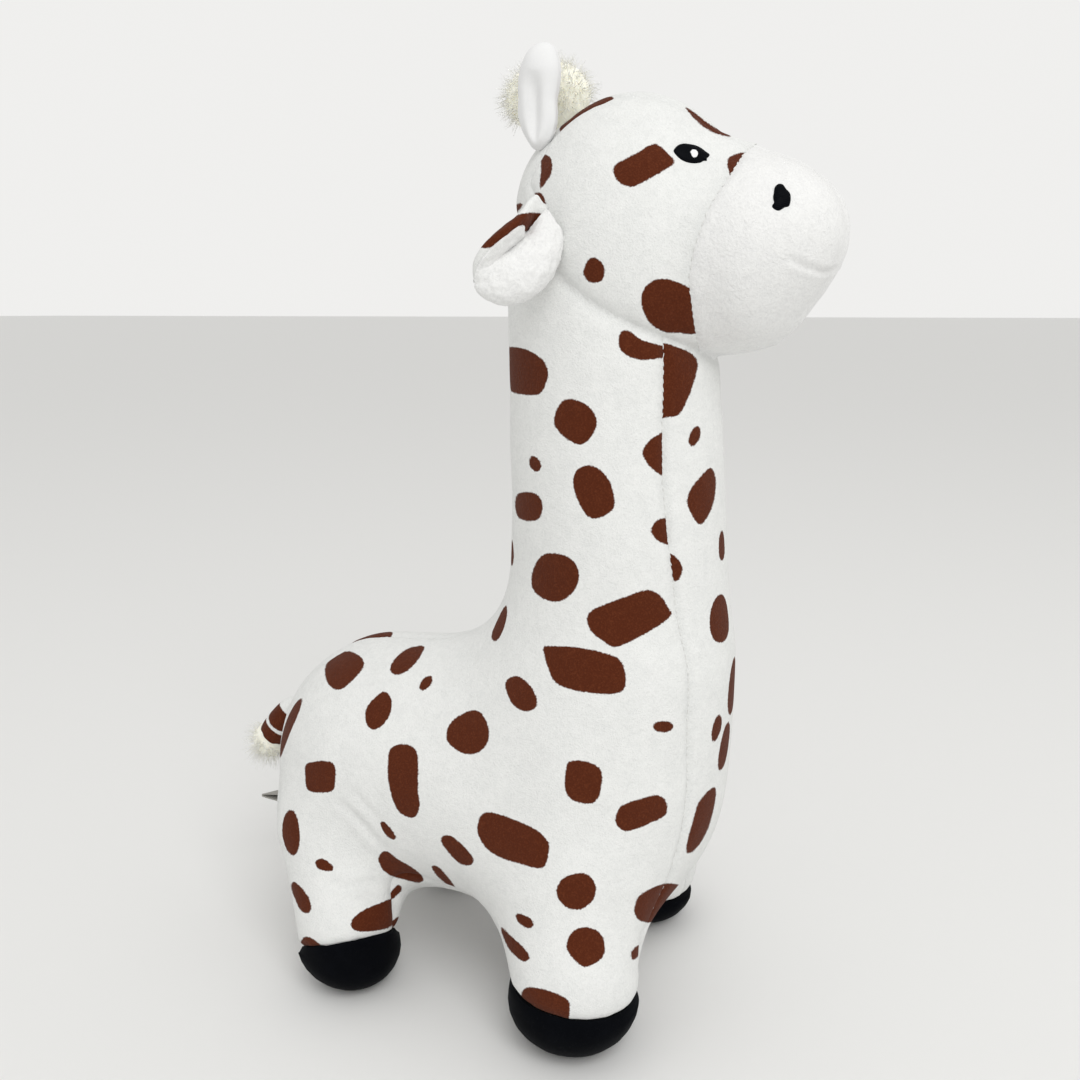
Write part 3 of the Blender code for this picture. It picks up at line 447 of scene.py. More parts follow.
gusset_stations += [
    ((middle_y, CORE_Z + CLOTH), chest_core + (CHEST_CORNER - chest_core).normalized() * OVERRUN,
     CHEST_CORNER_HALF),
    (chest_core, chest_core + (LEG_CORNER - chest_core).normalized() * OVERRUN, LEG_CORNER_HALF),
    (((middle_y + back_of_leg_y) / 2, CORE_Z), (FRONT_FOOT[0][1], below_z), FRONT_FOOT[0][0]),
    ((back_of_leg_y, CORE_Z), (back_of_leg_y, below_z), FRONT_FOOT[0][0]),
    (((back_of_leg_y + rear_leg_y - REAR_FOOT[1]) / 2, CORE_Z),
     ((back_of_leg_y + rear_leg_y - REAR_FOOT[1]) / 2, below_z), BELLY_HALF),
    ((rear_leg_y - REAR_FOOT[1], CORE_Z), (rear_leg_y - REAR_FOOT[1], below_z), THIGH_HALF),
    ((rear_leg_y, CORE_Z), (rear_y, below_z), REAR_FOOT[0][0]),
    ((rear_leg_y, REAR_CORE_Z), (rear_y, REAR_CORE_Z), SEAT_HALF),
    ((rear_leg_y, SEAT_TIP[0]), (rear_y, SEAT_TIP[0]), SEAT_TIP[1]),
    ((rear_leg_y, SEAT_END[0]), (rear_y, SEAT_END[0]), SEAT_END[1]),
]


def gusset_side(points):
    """Below zero on the front and belly panel, above zero on the side panels."""
    half = band_half_width(gusset_stations, points[:, 1:], -OVERRUN)
    return np.abs(points[:, 0]) - half


def left_side(points):
    return np.array(points[:, 0])


# The neck panels end where the stuffed head begins, so the head's form is laid out here as well
CRANIUM = ((0.0, -48.8 * MM, 262.3 * MM), (37.2 * MM, 39.3 * MM, 48.0 * MM))
CHEEKS = ((0.0, -86.1 * MM, 260.6 * MM), (31.3 * MM, 22.7 * MM, 30.0 * MM))
SNOUT_PLACE = (0.0, -96.9 * MM, 265.7 * MM)
SNOUT_RADIUS = 18.4 * MM
SNOUT_FLAT = 8.0 * MM
HEAD_BLEND = 9.7 * MM
NAPE = ((0.0, -31.5 * MM, 275.5 * MM), (25.0 * MM, 22.0 * MM, 25.5 * MM))
BROW = ((0.0, -76.0 * MM, 284.0 * MM), (16.0 * MM, 14.0 * MM, 11.5 * MM))
LOBE_BLEND = 4.0 * MM


def ball_distance(points, centre, radii):
    offset = points - np.array(centre)
    radii = np.array(radii)
    near = np.linalg.norm(offset / radii, axis=1)
    slope = np.linalg.norm(offset / radii**2, axis=1)
    return near * (near - 1.0) / np.maximum(slope, 1.0 / radii.max())


def head_distance(points):
    """How far points stand outside the stuffed head, below zero inside it."""
    snout_points = points - np.array(SNOUT_PLACE)
    snout_points[:, 0] = np.maximum(np.abs(snout_points[:, 0]) - SNOUT_FLAT, 0.0)
    snout = np.linalg.norm(snout_points, axis=1) - SNOUT_RADIUS
    skull = blended(ball_distance(points, *CRANIUM), ball_distance(points, *CHEEKS), HEAD_BLEND)
    for lobe in (NAPE, BROW):
        skull = blended(skull, ball_distance(points, *lobe), LOBE_BLEND)
    return blended(skull, snout, HEAD_BLEND)


# Velvet rims of the hooves: the height at the foot's middle and how far the rim rises outwards and rearwards
FRONT_RIM = (19.9 * MM, 0.08, 0.067)
FRONT_FAR_RIM = (14.0 * MM, 0.0, 0.03)
REAR_RIM = (16.3 * MM, 0.36, -0.34)
HOOVES = (
    ("front_right", -1.0, FRONT_FOOT, FRONT_RIM), ("front_left", 1.0, FRONT_FOOT, FRONT_FAR_RIM),
    ("rear_right", -1.0, REAR_FOOT, REAR_RIM), ("rear_left", 1.0, REAR_FOOT, REAR_RIM),
)
RIM_REACH = 5.0 * MM


def hoof_rim(points):
    """Below zero on what stands in the four hooves."""
    value = np.full(len(points), OVERRUN)
    for _, turn, ((x, y, _), radius), (height, outwards, rearwards) in HOOVES:
        across = points[:, 0] * turn - x
        along = points[:, 1] - y
        near = (np.hypot(across, along) < radius + RIM_REACH) & (points[:, 2] < CORE_Z)
        rim = height + outwards * across + rearwards * along
        value[near] = (points[:, 2] - rim)[near]
    return value


def point_radii(radius, width_share=1.0):
    return (radius * width_share, radius, radius)


body_balls = []
for start, start_radius, end, end_radius, width_share, reach in BODY_LIMBS:
    for turn in (1.0, -1.0) if start[0] else (1.0,):
        body_balls.append(((turn * start[0], *start[1:]), point_radii(start_radius, width_share),
                           (turn * end[0], *end[1:]), point_radii(end_radius, width_share)))
body_net = settled_net(body_balls, BODY_FACET, body_distance)
NECK_OVERLAP = 4.0 * MM


def head_opening(points):
    """Below zero where the neck's cloth would be lost in the head."""
    return head_distance(points) + NECK_OVERLAP


for seam in (gusset_side, left_side, hoof_rim, head_opening):
    cut_where_zero(body_net, seam)
body_net.normal_update()


def facet_list(net):
    return [[corner.index for corner in facet.verts] for facet in net.faces]


def facet_middles(places, facets):
    return np.array([places[facet].mean(axis=0) for facet in facets])


def seam_lines(facets, owners):
    """Edges between facets of different owners, as pairs of corners with the two owners' names."""
    found = {}
    lines = []
    for facet, owner in zip(facets, owners):
        for first, second in zip(facet, facet[1:] + facet[:1]):
            key = (min(first, second), max(first, second))
            other = found.setdefault(key, owner)
            if other != owner:
                lines.append((key, frozenset((owner, other))))
    return lines


def tree_of(points):
    tree = KDTree(len(points))
    for index, point in enumerate(points):
        tree.insert(point, index)
    tree.balance()
    return tree


def distances_to(tree, points):
    """How far points are from the nearest of a tree's points, and which it is."""
    found = [tree.find(point) for point in points]
    return np.array([item[2] for item in found]), np.array([item[1] for item in found])


def noise_at(points, size, offset=0.0):
    """Smooth noise from -1 to 1 with lumps of a size."""
    shift = Vector((offset, 2.0 * offset, -offset))
    return np.array([noise.noise(Vector(point) / size + shift) for point in points])


# How each seam pulls the cloth in: depth at the thread and width of the fold
SEAM_PULLS = {
    "panel": (1.3 * MM, 1.7 * MM),
    "back": (1.0 * MM, 1.6 * MM),
    "neck": (1.5 * MM, 2.4 * MM),
    "hoof": (1.2 * MM, 1.6 * MM),
}
PUCKER = 0.35 * MM
PUCKER_REACH = 5.0 * MM
PUCKER_SIZE = 4.5 * MM
LUMP = 0.55 * MM
LUMP_SIZE = 26.0 * MM


def sewn_in(places, ways, pulled):
    """The places after every seam has drawn the cloth in and the filling has settled unevenly.

    pulled lists, for each kind of seam, the points along it.
    """
    depth = np.zeros(len(places))
    nearest = np.full(len(places), OVERRUN)
    for kind, points in pulled.items():
        far, _ = distances_to(tree_of(points), places)
        pull, width = SEAM_PULLS[kind]
        depth = np.maximum(depth, pull * np.exp(-((far / width) ** 1.2)))
        nearest = np.minimum(nearest, far)
    pucker = noise_at(places, PUCKER_SIZE, 3.7) * PUCKER * np.exp(-nearest / PUCKER_REACH)
    lump = noise_at(places, LUMP_SIZE, 9.1) * LUMP
    return places + ways * (pucker + lump - depth)[:, None], nearest


def along_lines(places, lines, step=0.6 * MM):
    """Points every step or closer along the seam edges."""
    points = []
    for (first, second), _ in lines:
        length = np.linalg.norm(places[second] - places[first])
        count = 1 + int(length / step)
        for share in range(count + 1):
            points.append(places[first] + (places[second] - places[first]) * share / count)
    return points


body_facets = facet_list(body_net)
body_places = on_form(body_distance, corner_places(body_net))
body_ways, _ = outward(body_distance, body_places)
middles = facet_middles(body_places, body_facets)
side_value, rim_value, head_value = gusset_side(middles), hoof_rim(middles), head_opening(middles)
body_owners = []
for x, side, rim, head in zip(middles[:, 0], side_value, rim_value, head_value):
    if head < 0.0:
        body_owners.append("head")
    elif rim < 0.0:
        body_owners.append("hoof")
    elif side < 0.0:
        body_owners.append("chest_belly_gusset")
    else:
        body_owners.append("side_panel_left" if x > 0.0 else "side_panel_right")
body_lines = seam_lines(body_facets, body_owners)


def lines_beside(lines, owner):
    return [line for line in lines if owner in line[1]]


def crossings(places, facets, value_of):
    """Points along a net's edges where a value passes zero."""
    values = value_of(places)
    points = []
    for facet in facets:
        for first, second in zip(facet, facet[1:] + facet[:1]):
            if values[first] < 0.0 <= values[second]:
                share = values[first] / (values[first] - values[second])
                points.append(places[first] + (places[second] - places[first]) * share)
    return points


sides = frozenset(("side_panel_left", "side_panel_right"))
body_pulled = {
    "hoof": lines_beside(body_lines, "hoof"),
    "back": [line for line in body_lines if line[1] == sides],
    "panel": [line for line in lines_beside(body_lines, "chest_belly_gusset")
              if not line[1] & {"head", "hoof"}],
}
body_pulled_points = {kind: along_lines(body_places, lines) for kind, lines in body_pulled.items()}
body_pulled_points["neck"] = crossings(body_places, body_facets, head_distance)
body_cloth, body_seam_far = sewn_in(body_places, body_ways, body_pulled_points)
# Printed spots: every spot that the photograph shows face on has its outline in the photograph's pixels,
# those that turn away at an edge of the toy are ovals, and the unseen cloth has a seeded scatter of the
# same sizes. A seam cuts a spot where the panel was cut through the print.
SIDE, GUSSET, CROWN, CHEEK = "side_panel_right", "chest_belly_gusset", "crown_gusset", "head_side_right"
# Two spots run over a seam, so each of them is on both panels
BELLY_SPOT = ((386, 850), (396, 858), (416, 870), (424, 879), (420, 883), (402, 879), (386, 873), (378, 859))
FOREHEAD_SPOT = (
    (684, 106), (696, 113.5), (710, 124.5), (732, 136.5), (722, 135.5), (710, 131), (700, 124), (690, 114))
SPOT_OUTLINES = (
    (SIDE, ((506, 352), (508, 347), (525, 349), (541, 358), (548, 370), (547, 381), (540, 394), (525, 395),
            (512, 392), (505, 385))),
    (SIDE, ((572, 399), (590, 407), (597, 425), (584, 444), (570, 441), (555, 427), (555, 414), (562, 401))),
    (SIDE, ((531, 455), (540, 460), (541, 470), (535, 472), (529, 464))),
    (SIDE, ((527, 492), (538, 495), (543, 506), (539, 519), (526, 521), (517, 516), (515, 502), (517, 494))),
    (SIDE, ((589, 465), (604, 473), (613, 490), (613, 510), (594, 519), (584, 512), (574, 490), (575, 472))),
    (SIDE, ((552, 553), (570, 558), (579, 572), (576, 588), (562, 601), (546, 600), (533, 590), (532, 573),
            (540, 557))),
    (SIDE, ((646, 590), (660, 595), (667, 606), (672, 615), (650, 631), (617, 647), (603, 641), (590, 630),
            (587, 617), (594, 609), (622, 598))),
    (SIDE, ((543, 648), (548, 646), (575, 647), (605, 653), (621, 661), (626, 680), (621, 692), (600, 694),
            (573, 690), (555, 682), (547, 665))),
    (SIDE, ((518, 676), (530, 685), (537, 699), (535, 709), (522, 711), (511, 702), (505, 685), (509, 678))),
    (SIDE, ((672, 432), (655, 436), (645, 446), (642, 454), (650, 467), (662, 476), (674, 484), (680, 455))),
    (SIDE, ((675, 519), (659, 519), (652, 526), (651, 533), (658, 541), (672, 545), (680, 532))),
    (SIDE, ((620, 333), (628, 330), (642, 340), (670, 348), (676, 355), (655, 359), (640, 360), (626, 355),
            (619, 347))),
    (GUSSET, ((658, 345), (680, 348), (692, 354), (698, 363), (692, 388), (680, 414), (668, 417), (655, 416),
              (650, 380))),
    (GUSSET, ((697, 425), (701, 429), (699, 440), (692, 447), (688, 442), (691, 432))),
    (GUSSET, ((711, 467), (716, 480), (713, 505), (701, 525), (691, 514), (687, 501), (692, 487),
              (702, 475))),
    (GUSSET, ((668, 553), (675, 556), (682, 565), (682, 573), (678, 581), (672, 580), (666, 565))),
    (GUSSET, ((716, 787), (711, 820), (700, 844), (689, 854), (686, 848), (693, 820), (700, 800))),
    (SIDE, ((487, 744), (477, 753), (464, 754), (450, 745), (446, 735), (451, 722), (464, 713), (475, 710),
            (483, 715), (489, 730))),
    (SIDE, ((652, 726), (659, 721), (670, 722), (674, 727), (668, 732), (658, 732))),
    (SIDE, ((570, 761), (585, 761), (600, 768), (602, 780), (598, 799), (588, 804), (572, 800), (565, 790),
            (566, 768))),
    (SIDE, ((657, 795), (666, 801), (667, 812), (660, 819), (630, 831), (620, 829), (615, 820), (621, 806),
            (640, 799))),
    (SIDE, ((488, 812), (505, 816), (535, 829), (548, 841), (549, 850), (543, 868), (520, 864), (495, 855),
            (482, 843), (477, 828), (481, 815))),
    (SIDE, ((349, 651), (362, 658), (364, 666), (355, 678), (340, 690), (328, 684), (325, 668), (334, 655))),
    (SIDE, ((425, 646), (420, 657), (410, 669), (398, 675), (390, 672), (393, 661), (405, 650), (417, 646))),
    (SIDE, ((431, 675), (433, 681), (427, 689), (421, 691), (419, 686), (424, 678))),
    (SIDE, ((385, 691), (391, 698), (391, 712), (383, 725), (371, 730), (365, 719), (367, 707), (376, 696))),
    (SIDE, ((402, 744), (413, 747), (418, 757), (418, 790), (420, 805), (414, 818), (398, 811), (389, 785),
            (388, 757), (392, 747))),
    (SIDE, ((307, 763), (328, 761), (335, 766), (335, 785), (331, 792), (311, 792), (306, 786), (305, 770))),
    (SIDE, ((382, 820), (388, 825), (397, 838), (392, 840), (384, 833), (380, 824))),
    (SIDE, ((449, 835), (458, 841), (470, 853), (474, 862), (467, 866), (455, 860), (440, 840))),
    (SIDE, ((431, 865), (440, 868), (456, 888), (449, 886), (436, 875))),
    (SIDE, ((315, 861), (322, 858), (331, 864), (334, 870), (324, 871), (316, 867))),
    (SIDE, BELLY_SPOT),
    (GUSSET, BELLY_SPOT),
    (SIDE, ((396, 898), (380, 903), (362, 911), (350, 923), (356, 931), (375, 931), (392, 926), (398, 912))),
    (SIDE, ((585, 873), (594, 881), (596, 892), (590, 904), (578, 910), (564, 906), (556, 892), (562, 879),
            (573, 874))),
    (SIDE, ((518, 913), (533, 920), (532, 928), (524, 927), (515, 918))),
    (SIDE, ((588, 927), (601, 934), (605, 945), (603, 957), (590, 966), (581, 966), (568, 952), (567, 942),
            (574, 930))),
    (SIDE, ((662, 884), (676, 884), (684, 890), (676, 905), (655, 921), (640, 921), (634, 911), (640, 895))),
    (GUSSET, ((662, 884), (676, 884), (681, 887), (674, 903), (655, 921), (640, 921), (634, 911),
              (640, 895))),
    (SIDE, ((292, 881), (298, 884), (306, 893), (311, 903), (311, 911), (307, 914), (300, 910), (295, 899),
            (291, 888))),
    (SIDE, ((500, 926), (508, 933), (520, 944), (528, 953), (530, 959), (524, 962), (514, 955), (506, 944))),
    (SIDE, ((641, 944), (640, 953), (635, 960), (631, 960), (632, 950))),
    (SIDE, ((530, 987), (550, 991), (567, 999), (570, 1010), (564, 1030), (540, 1026), (522, 1001),
            (523, 990))),
    (GUSSET, ((604, 1024), (612, 1011), (622, 1005), (640, 1000), (640, 1014), (620, 1030))),
    (SIDE, ((304, 937), (310, 937), (322, 946), (324, 956), (306, 958), (300, 945))),
    (GUSSET, ((400, 884), (396, 886), (388, 896), (389, 901), (394, 898), (402, 890))),
    (GUSSET, ((388, 925), (396, 918), (402, 916), (404, 930), (390, 934))),
)


def along_curve(points, splits=6):
    """A closed smooth line through given points."""
    line = []
    count = len(points)
    for index in range(count):
        before, here, after, beyond = (np.array(points[(index + turn) % count], dtype=float)
                                       for turn in (-1, 0, 1, 2))
        for step in range(splits):
            share = step / splits
            line.append(0.5 * (2.0 * here + (after - before) * share
                               + (2.0 * before - 5.0 * here + 4.0 * after - beyond) * share**2
                               + (3.0 * here - before - 3.0 * after + beyond) * share**3))
    return np.array(line)


SPOT_ROUNDING = 2.2
ROUNDING_SPAN = 3.0


def rounded(line, reach=SPOT_ROUNDING):
    """A closed line of pixels at an even step, with its corners rounded over a reach."""
    ends = np.vstack((line, line[:1]))
    along = np.concatenate(([0.0], np.cumsum(np.linalg.norm(np.diff(ends, axis=0), axis=1))))
    count = max(12, int(along[-1]))
    even = np.stack([np.interp(np.linspace(0.0, along[-1], count, endpoint=False), along, ends[:, axis])
                     for axis in (0, 1)], axis=1)
    step = along[-1] / count
    span = int(ROUNDING_SPAN * reach / step)
    shifts = range(-span, span + 1)
    weights = np.exp(-0.5 * (np.array(shifts) * step / reach) ** 2)
    weights /= weights.sum()
    return sum(weight * np.roll(even, shift, axis=0) for shift, weight in zip(shifts, weights))


def line_distance(points, line):
    """How far flat points lie outside a closed line, below zero inside it."""
    ends = np.roll(line, -1, axis=0)
    far = np.full(len(points), np.inf)
    inside = np.zeros(len(points), dtype=bool)
    for start, end in zip(line, ends):
        along = end - start
        offset = points - start
        share = np.clip(offset @ along / max(along @ along, 1e-12), 0.0, 1.0)
        far = np.minimum(far, np.linalg.norm(offset - share[:, None] * along, axis=1))
        crosses = (start[1] > points[:, 1]) != (end[1] > points[:, 1])
        if crosses.any() and abs(along[1]) > 0.0:
            meet = start[0] + along[0] * (points[:, 1] - start[1]) / along[1]
            inside ^= crosses & (points[:, 0] < meet)
    return np.where(inside, -far, far)


FAR_OFF = 5.0 * MM
SPOT_MARGIN = 10.0
# A spot that reaches the edge of the view runs a little way round it, and nothing far behind it is printed
TURNED_AWAY = -0.6
PAST_EDGE = 18.0 * MM
EDGE_REACH = 1.5 * MM
SPOT_DEPTH = 26.0 * MM


def seen_spots(places, ways, panel, outlines):
    """How far the cloth's points lie outside the nearest spot outlined in the photograph."""
    pixels, depth = photo_points(places)
    toward = np.array(CAMERA_PLACE) - places
    toward /= np.linalg.norm(toward, axis=1)[:, None]
    facing = (ways * toward).sum(axis=1)
    value = np.full(len(places), FAR_OFF)
    for name, outline in outlines:
        if name != panel:
            continue
        line = rounded(along_curve(outline))
        low, high = line.min(axis=0) - SPOT_MARGIN, line.max(axis=0) + SPOT_MARGIN
        near = (facing > TURNED_AWAY) & (pixels > low).all(axis=1) & (pixels < high).all(axis=1)
        if not (near & (facing > 0.0)).any():
            continue
        front = depth[near & (facing > 0.0)].min()
        far = line_distance(pixels[near], line) * depth[near] / FOCAL
        far = np.maximum(far, -facing[near] * PAST_EDGE - EDGE_REACH)
        far = np.maximum(far, depth[near] - front - SPOT_DEPTH)
        value[near] = np.minimum(value[near], far)
    return value


# Upwards, but a little off it, so that it isn't parallel to cloth that faces straight up
RISE = np.array((0.0, 0.001, 1.0))


def arc_offsets(places, ways, centre, centre_way):
    """Flat offsets of points from a centre, measured along the curved cloth."""
    across = np.cross(RISE, centre_way)
    across /= np.linalg.norm(across)
    up = np.cross(centre_way, across)
    offset = places - centre
    flat = np.stack((offset @ across, offset @ up), axis=1)
    length = np.linalg.norm(flat, axis=1)
    straight = np.linalg.norm(offset, axis=1)
    angle = np.arccos(np.clip(ways @ centre_way, -1.0, 1.0))
    arc = straight * (angle / 2) / np.maximum(np.sin(angle / 2), 1e-6)
    return flat / np.maximum(length, 1e-9)[:, None] * arc[:, None]


def oval_spots(places, ways, ovals):
    """How far the cloth's points lie outside the nearest oval spot.

    An oval is its centre, the cloth's way there, half length, half width, turn, squareness and wobble.
    """
    value = np.full(len(places), FAR_OFF)
    for centre, way, half_long, half_short, turn, power, wobble in ovals:
        reach = 1.6 * half_long + FAR_OFF
        near = (np.linalg.norm(places - centre, axis=1) < reach) & (ways @ way > -0.2)
        if not near.any():
            continue
        flat = arc_offsets(places[near], ways[near], centre, way)
        cos, sin = math.cos(turn), math.sin(turn)
        long_way = flat[:, 0] * cos + flat[:, 1] * sin
        short_way = flat[:, 1] * cos - flat[:, 0] * sin
        around = np.arctan2(short_way / half_short, long_way / half_long)
        size = np.abs(long_way / half_long) ** power + np.abs(short_way / half_short) ** power
        size = size ** (1.0 / power)
        size *= 1.0 + wobble * np.sin(3.0 * around + 7.0 * turn)
        value[near] = np.minimum(value[near], (size - 1.0) * half_short)
    return value


# Ovals at the edges of the view: panel, a pixel on the cloth, half length and half width, turn and squareness
EDGE_OVALS = (
    (SIDE, (512, 371), 6.8 * MM, 6.0 * MM, 90.0, 3.0),
    (SIDE, (512, 553), 4.5 * MM, 3.6 * MM, 90.0, 2.0),
    (SIDE, (500, 624), 6.4 * MM, 4.4 * MM, 92.0, 2.2),
    (GUSSET, (722, 546), 5.0 * MM, 3.4 * MM, 90.0, 2.2),
    (GUSSET, (721, 619), 8.0 * MM, 7.0 * MM, 90.0, 2.2),
    (GUSSET, (733, 686), 10.0 * MM, 7.0 * MM, 84.0, 2.2),
    (GUSSET, (717, 728), 4.6 * MM, 3.2 * MM, 72.0, 2.0),
    (GUSSET, (725, 746), 8.4 * MM, 5.4 * MM, 78.0, 2.2),
    (SIDE, (287, 728), 13.0 * MM, 5.0 * MM, 76.0, 2.2),
    (SIDE, (290, 833), 8.2 * MM, 5.0 * MM, 98.0, 2.2),
    ("side_panel_left", (371, 637.5), 10.0 * MM, 8.0 * MM, 0.0, 2.4),
    (GUSSET, (644, 949), 4.6 * MM, 2.4 * MM, 90.0, 2.0),
    (SIDE, (472, 902), 3.4 * MM, 3.0 * MM, 150.0, 2.0),
)


EDGE_WOBBLE = 0.03


def edge_ovals(tree, panel, table):
    """The listed ovals of a panel, on the cloth where the photograph's pixels strike it."""
    ovals = []
    for name, pixel, half_long, half_short, turn, power in table:
        if name != panel:
            continue
        hit, way, _, _ = tree.ray_cast(CAMERA_PLACE, photo_ray(*pixel))
        if hit is not None:
            ovals.append((np.array(hit), np.array(way), half_long, half_short, math.radians(turn), power,
                          EDGE_WOBBLE))
    return ovals


# A scatter like the printed one: many middling spots, some long, some small
SPOT_KINDS = (
    (7.6 * MM, 6.6 * MM, 2.6), (9.4 * MM, 7.4 * MM, 2.5), (14.0 * MM, 8.0 * MM, 3.2),
    (11.0 * MM, 6.0 * MM, 2.6), (13.0 * MM, 5.4 * MM, 4.0), (6.4 * MM, 5.4 * MM, 3.0),
    (3.6 * MM, 2.6 * MM, 2.1), (2.9 * MM, 1.9 * MM, 2.0),
)
SPOT_ROOM = 4.2 * MM
SPOT_TRIES = 2600


def scattered(places, ways, value, seed, kinds=SPOT_KINDS, room=SPOT_ROOM):
    """Spots on the cloth that the photograph doesn't show, clear of each other and of the seen ones."""
    draw = np.random.default_rng(seed)
    toward = np.array(CAMERA_PLACE) - places
    toward /= np.linalg.norm(toward, axis=1)[:, None]
    hidden = (ways * toward).sum(axis=1) < -0.02
    candidates = np.flatnonzero(hidden)
    made = []
    value = value.copy()
    for _ in range(SPOT_TRIES):
        if not len(candidates):
            break
        index = candidates[draw.integers(len(candidates))]
        kind = kinds[draw.integers(len(kinds))]
        grow = draw.uniform(0.88, 1.12)
        half_long, half_short = kind[0] * grow, kind[1] * grow
        turn = draw.uniform(0.0, math.pi)
        edge = (ways[index] * toward[index]).sum()
        if edge > -0.35 and half_long > 5.0 * MM:
            continue
        centre, way = places[index], ways[index]
        oval = (centre, way, half_long, half_short, turn, kind[2], draw.uniform(0.0, 0.07))
        near = np.linalg.norm(places - centre, axis=1) < half_long + room
        own = oval_spots(places[near], ways[near], (oval,))
        if (value[near][own < room * 0.5] < room).any():
            continue
        if (~hidden[near][own < 0.0]).any():
            continue
        made.append(oval)
        value[near] = np.minimum(value[near], own)
    return made


def sewn_panel(name, places, ways, facets, thickness, values):
    """A closed shell of cloth from some facets of a net, with values of its corners kept as attributes."""
    used = sorted({corner for facet in facets for corner in facet})
    place_in = {corner: index for index, corner in enumerate(used)}
    count = len(used)
    outer = places[used]
    inner = outer - ways[used] * thickness
    shells = [[place_in[corner] for corner in facet] for facet in facets]
    edges = {}
    for facet in shells:
        for first, second in zip(facet, facet[1:] + facet[:1]):
            edges[(first, second)] = edges.get((first, second), 0) + 1
    rim = [(first, second) for first, second in edges if (second, first) not in edges]
    faces = shells + [[count + corner for corner in reversed(facet)] for facet in shells]
    faces += [[second, first, count + first, count + second] for first, second in rim]
    mesh = bpy.data.meshes.new(name)
    mesh.from_pydata(np.vstack((outer, inner)).tolist(), [], faces)
    mesh.update()
    mesh.shade_smooth()
    rim_keys = {frozenset(edge) for edge in rim} | {frozenset((a + count, b + count)) for a, b in rim}
    sharp = mesh.attributes.new("sharp_edge", "BOOLEAN", "EDGE")
    sharp.data.foreach_set("value", [frozenset(edge.vertices) in rim_keys for edge in mesh.edges])
    for label, value in values.items():
        keep_value(mesh, label, np.tile(value[used], 2))
    return add_piece(name, mesh)


def cast_line(tree, pixels, step=0.5 * MM):
    """Points along a line drawn on the photograph, on the cloth that it crosses."""
    hits = []
    for pixel in pixels:
        hit, _, _, _ = tree.ray_cast(CAMERA_PLACE, photo_ray(*pixel))
        if hit is not None:
            hits.append(np.array(hit))
    line = []
    for first, second in zip(hits, hits[1:]):
        count = max(1, int(np.linalg.norm(second - first) / step))
        line += [first + (second - first) * share / count for share in range(count)]
    line.append(hits[-1])
    return np.array(line)


def creased(places, ways, line, depth, width):
    """A fold pressed in along a line of points, fading out at its ends, with a low swell beside it."""
    reach = np.linalg.norm(line - line.mean(axis=0), axis=1).max() + 6.0 * width
    near = np.linalg.norm(places - line.mean(axis=0), axis=1) < reach
    far, index = distances_to(tree_of(line), places[near])
    fade = np.sqrt(np.clip(np.sin(math.pi * (index + 0.5) / len(line)), 0.0, 1.0))
    fold = np.exp(-((far / width) ** 2)) - 0.3 * np.exp(-(((far - 2.4 * width) / width) ** 2))
    folded = places.copy()
    folded[near] -= ways[near] * (depth * fade * fold)[:, None]
    return folded


def mirrored(points):
    return points * np.array((-1.0, 1.0, 1.0))


# Creases where the legs meet the trunk, as lines of pixels with their depth and width
BODY_CREASES = (
    (((335, 800), (348, 810), (362, 824), (385, 850)), 0.8 * MM, 1.5 * MM),
    (((352, 790), (366, 806), (380, 822)), 0.5 * MM, 1.4 * MM),
    (((326, 884), (350, 886), (382, 882)), 0.5 * MM, 1.3 * MM),
    (((330, 898), (352, 899), (374, 896)), 0.4 * MM, 1.2 * MM),
)

# Printed plush: white pile about a millimetre long, brushed unevenly, with brown spots whose dye fades over
# a fibre or two at the edge, and painted shade in the fold beside each seam
WHITE = (0.82, 0.825, 0.81, 1.0)
WHITE_SHADE = (0.67, 0.68, 0.67, 1.0)
BROWN = (0.084, 0.0178, 0.0058, 1.0)
BROWN_LIGHT = (0.150, 0.039, 0.0145, 1.0)


def printed_plush(wire):
    pile = wire.grain(0.6 * MM, 3.0, 0.65)
    tufts = wire.grain(2.4 * MM, 3.0, 0.6, 0.8)
    brushed = wire.grain(9.0 * MM, 3.0, 0.6)
    # painted shade: the white is darkened within a few millimetres of a seam, where the fold lies in shade
    fold = wire.attribute("seam_far").between(3.2 * MM, 0.2 * MM)
    ragged = (pile - 0.5) * (0.9 * MM) + (tufts - 0.5) * (0.5 * MM)
    print_share = (wire.attribute("spot") + ragged).between(0.22 * MM, -0.22 * MM)
    shade = pile.between(0.66, 0.30) * 0.3 + tufts.between(0.6, 0.3) * 0.22
    shade = shade + brushed.between(0.62, 0.38) * 0.14
    white = wire.mix(shade + fold * 0.2, WHITE, WHITE_SHADE)
    brown = wire.mix(pile.between(0.45, 0.75) * 0.6 + tufts.between(0.5, 0.8) * 0.25, BROWN, BROWN_LIGHT)
    height = pile * 0.55 + tufts * 0.45
    return {
        "Base Color": wire.mix(print_share, white, brown),
        "Roughness": 0.95,
        "Specular IOR Level": 0.1,
        "Sheen Weight": 0.05,
        "Sheen Roughness": 0.5,
        "Normal": wire.bump(height, 0.8, 0.7 * MM),
    }


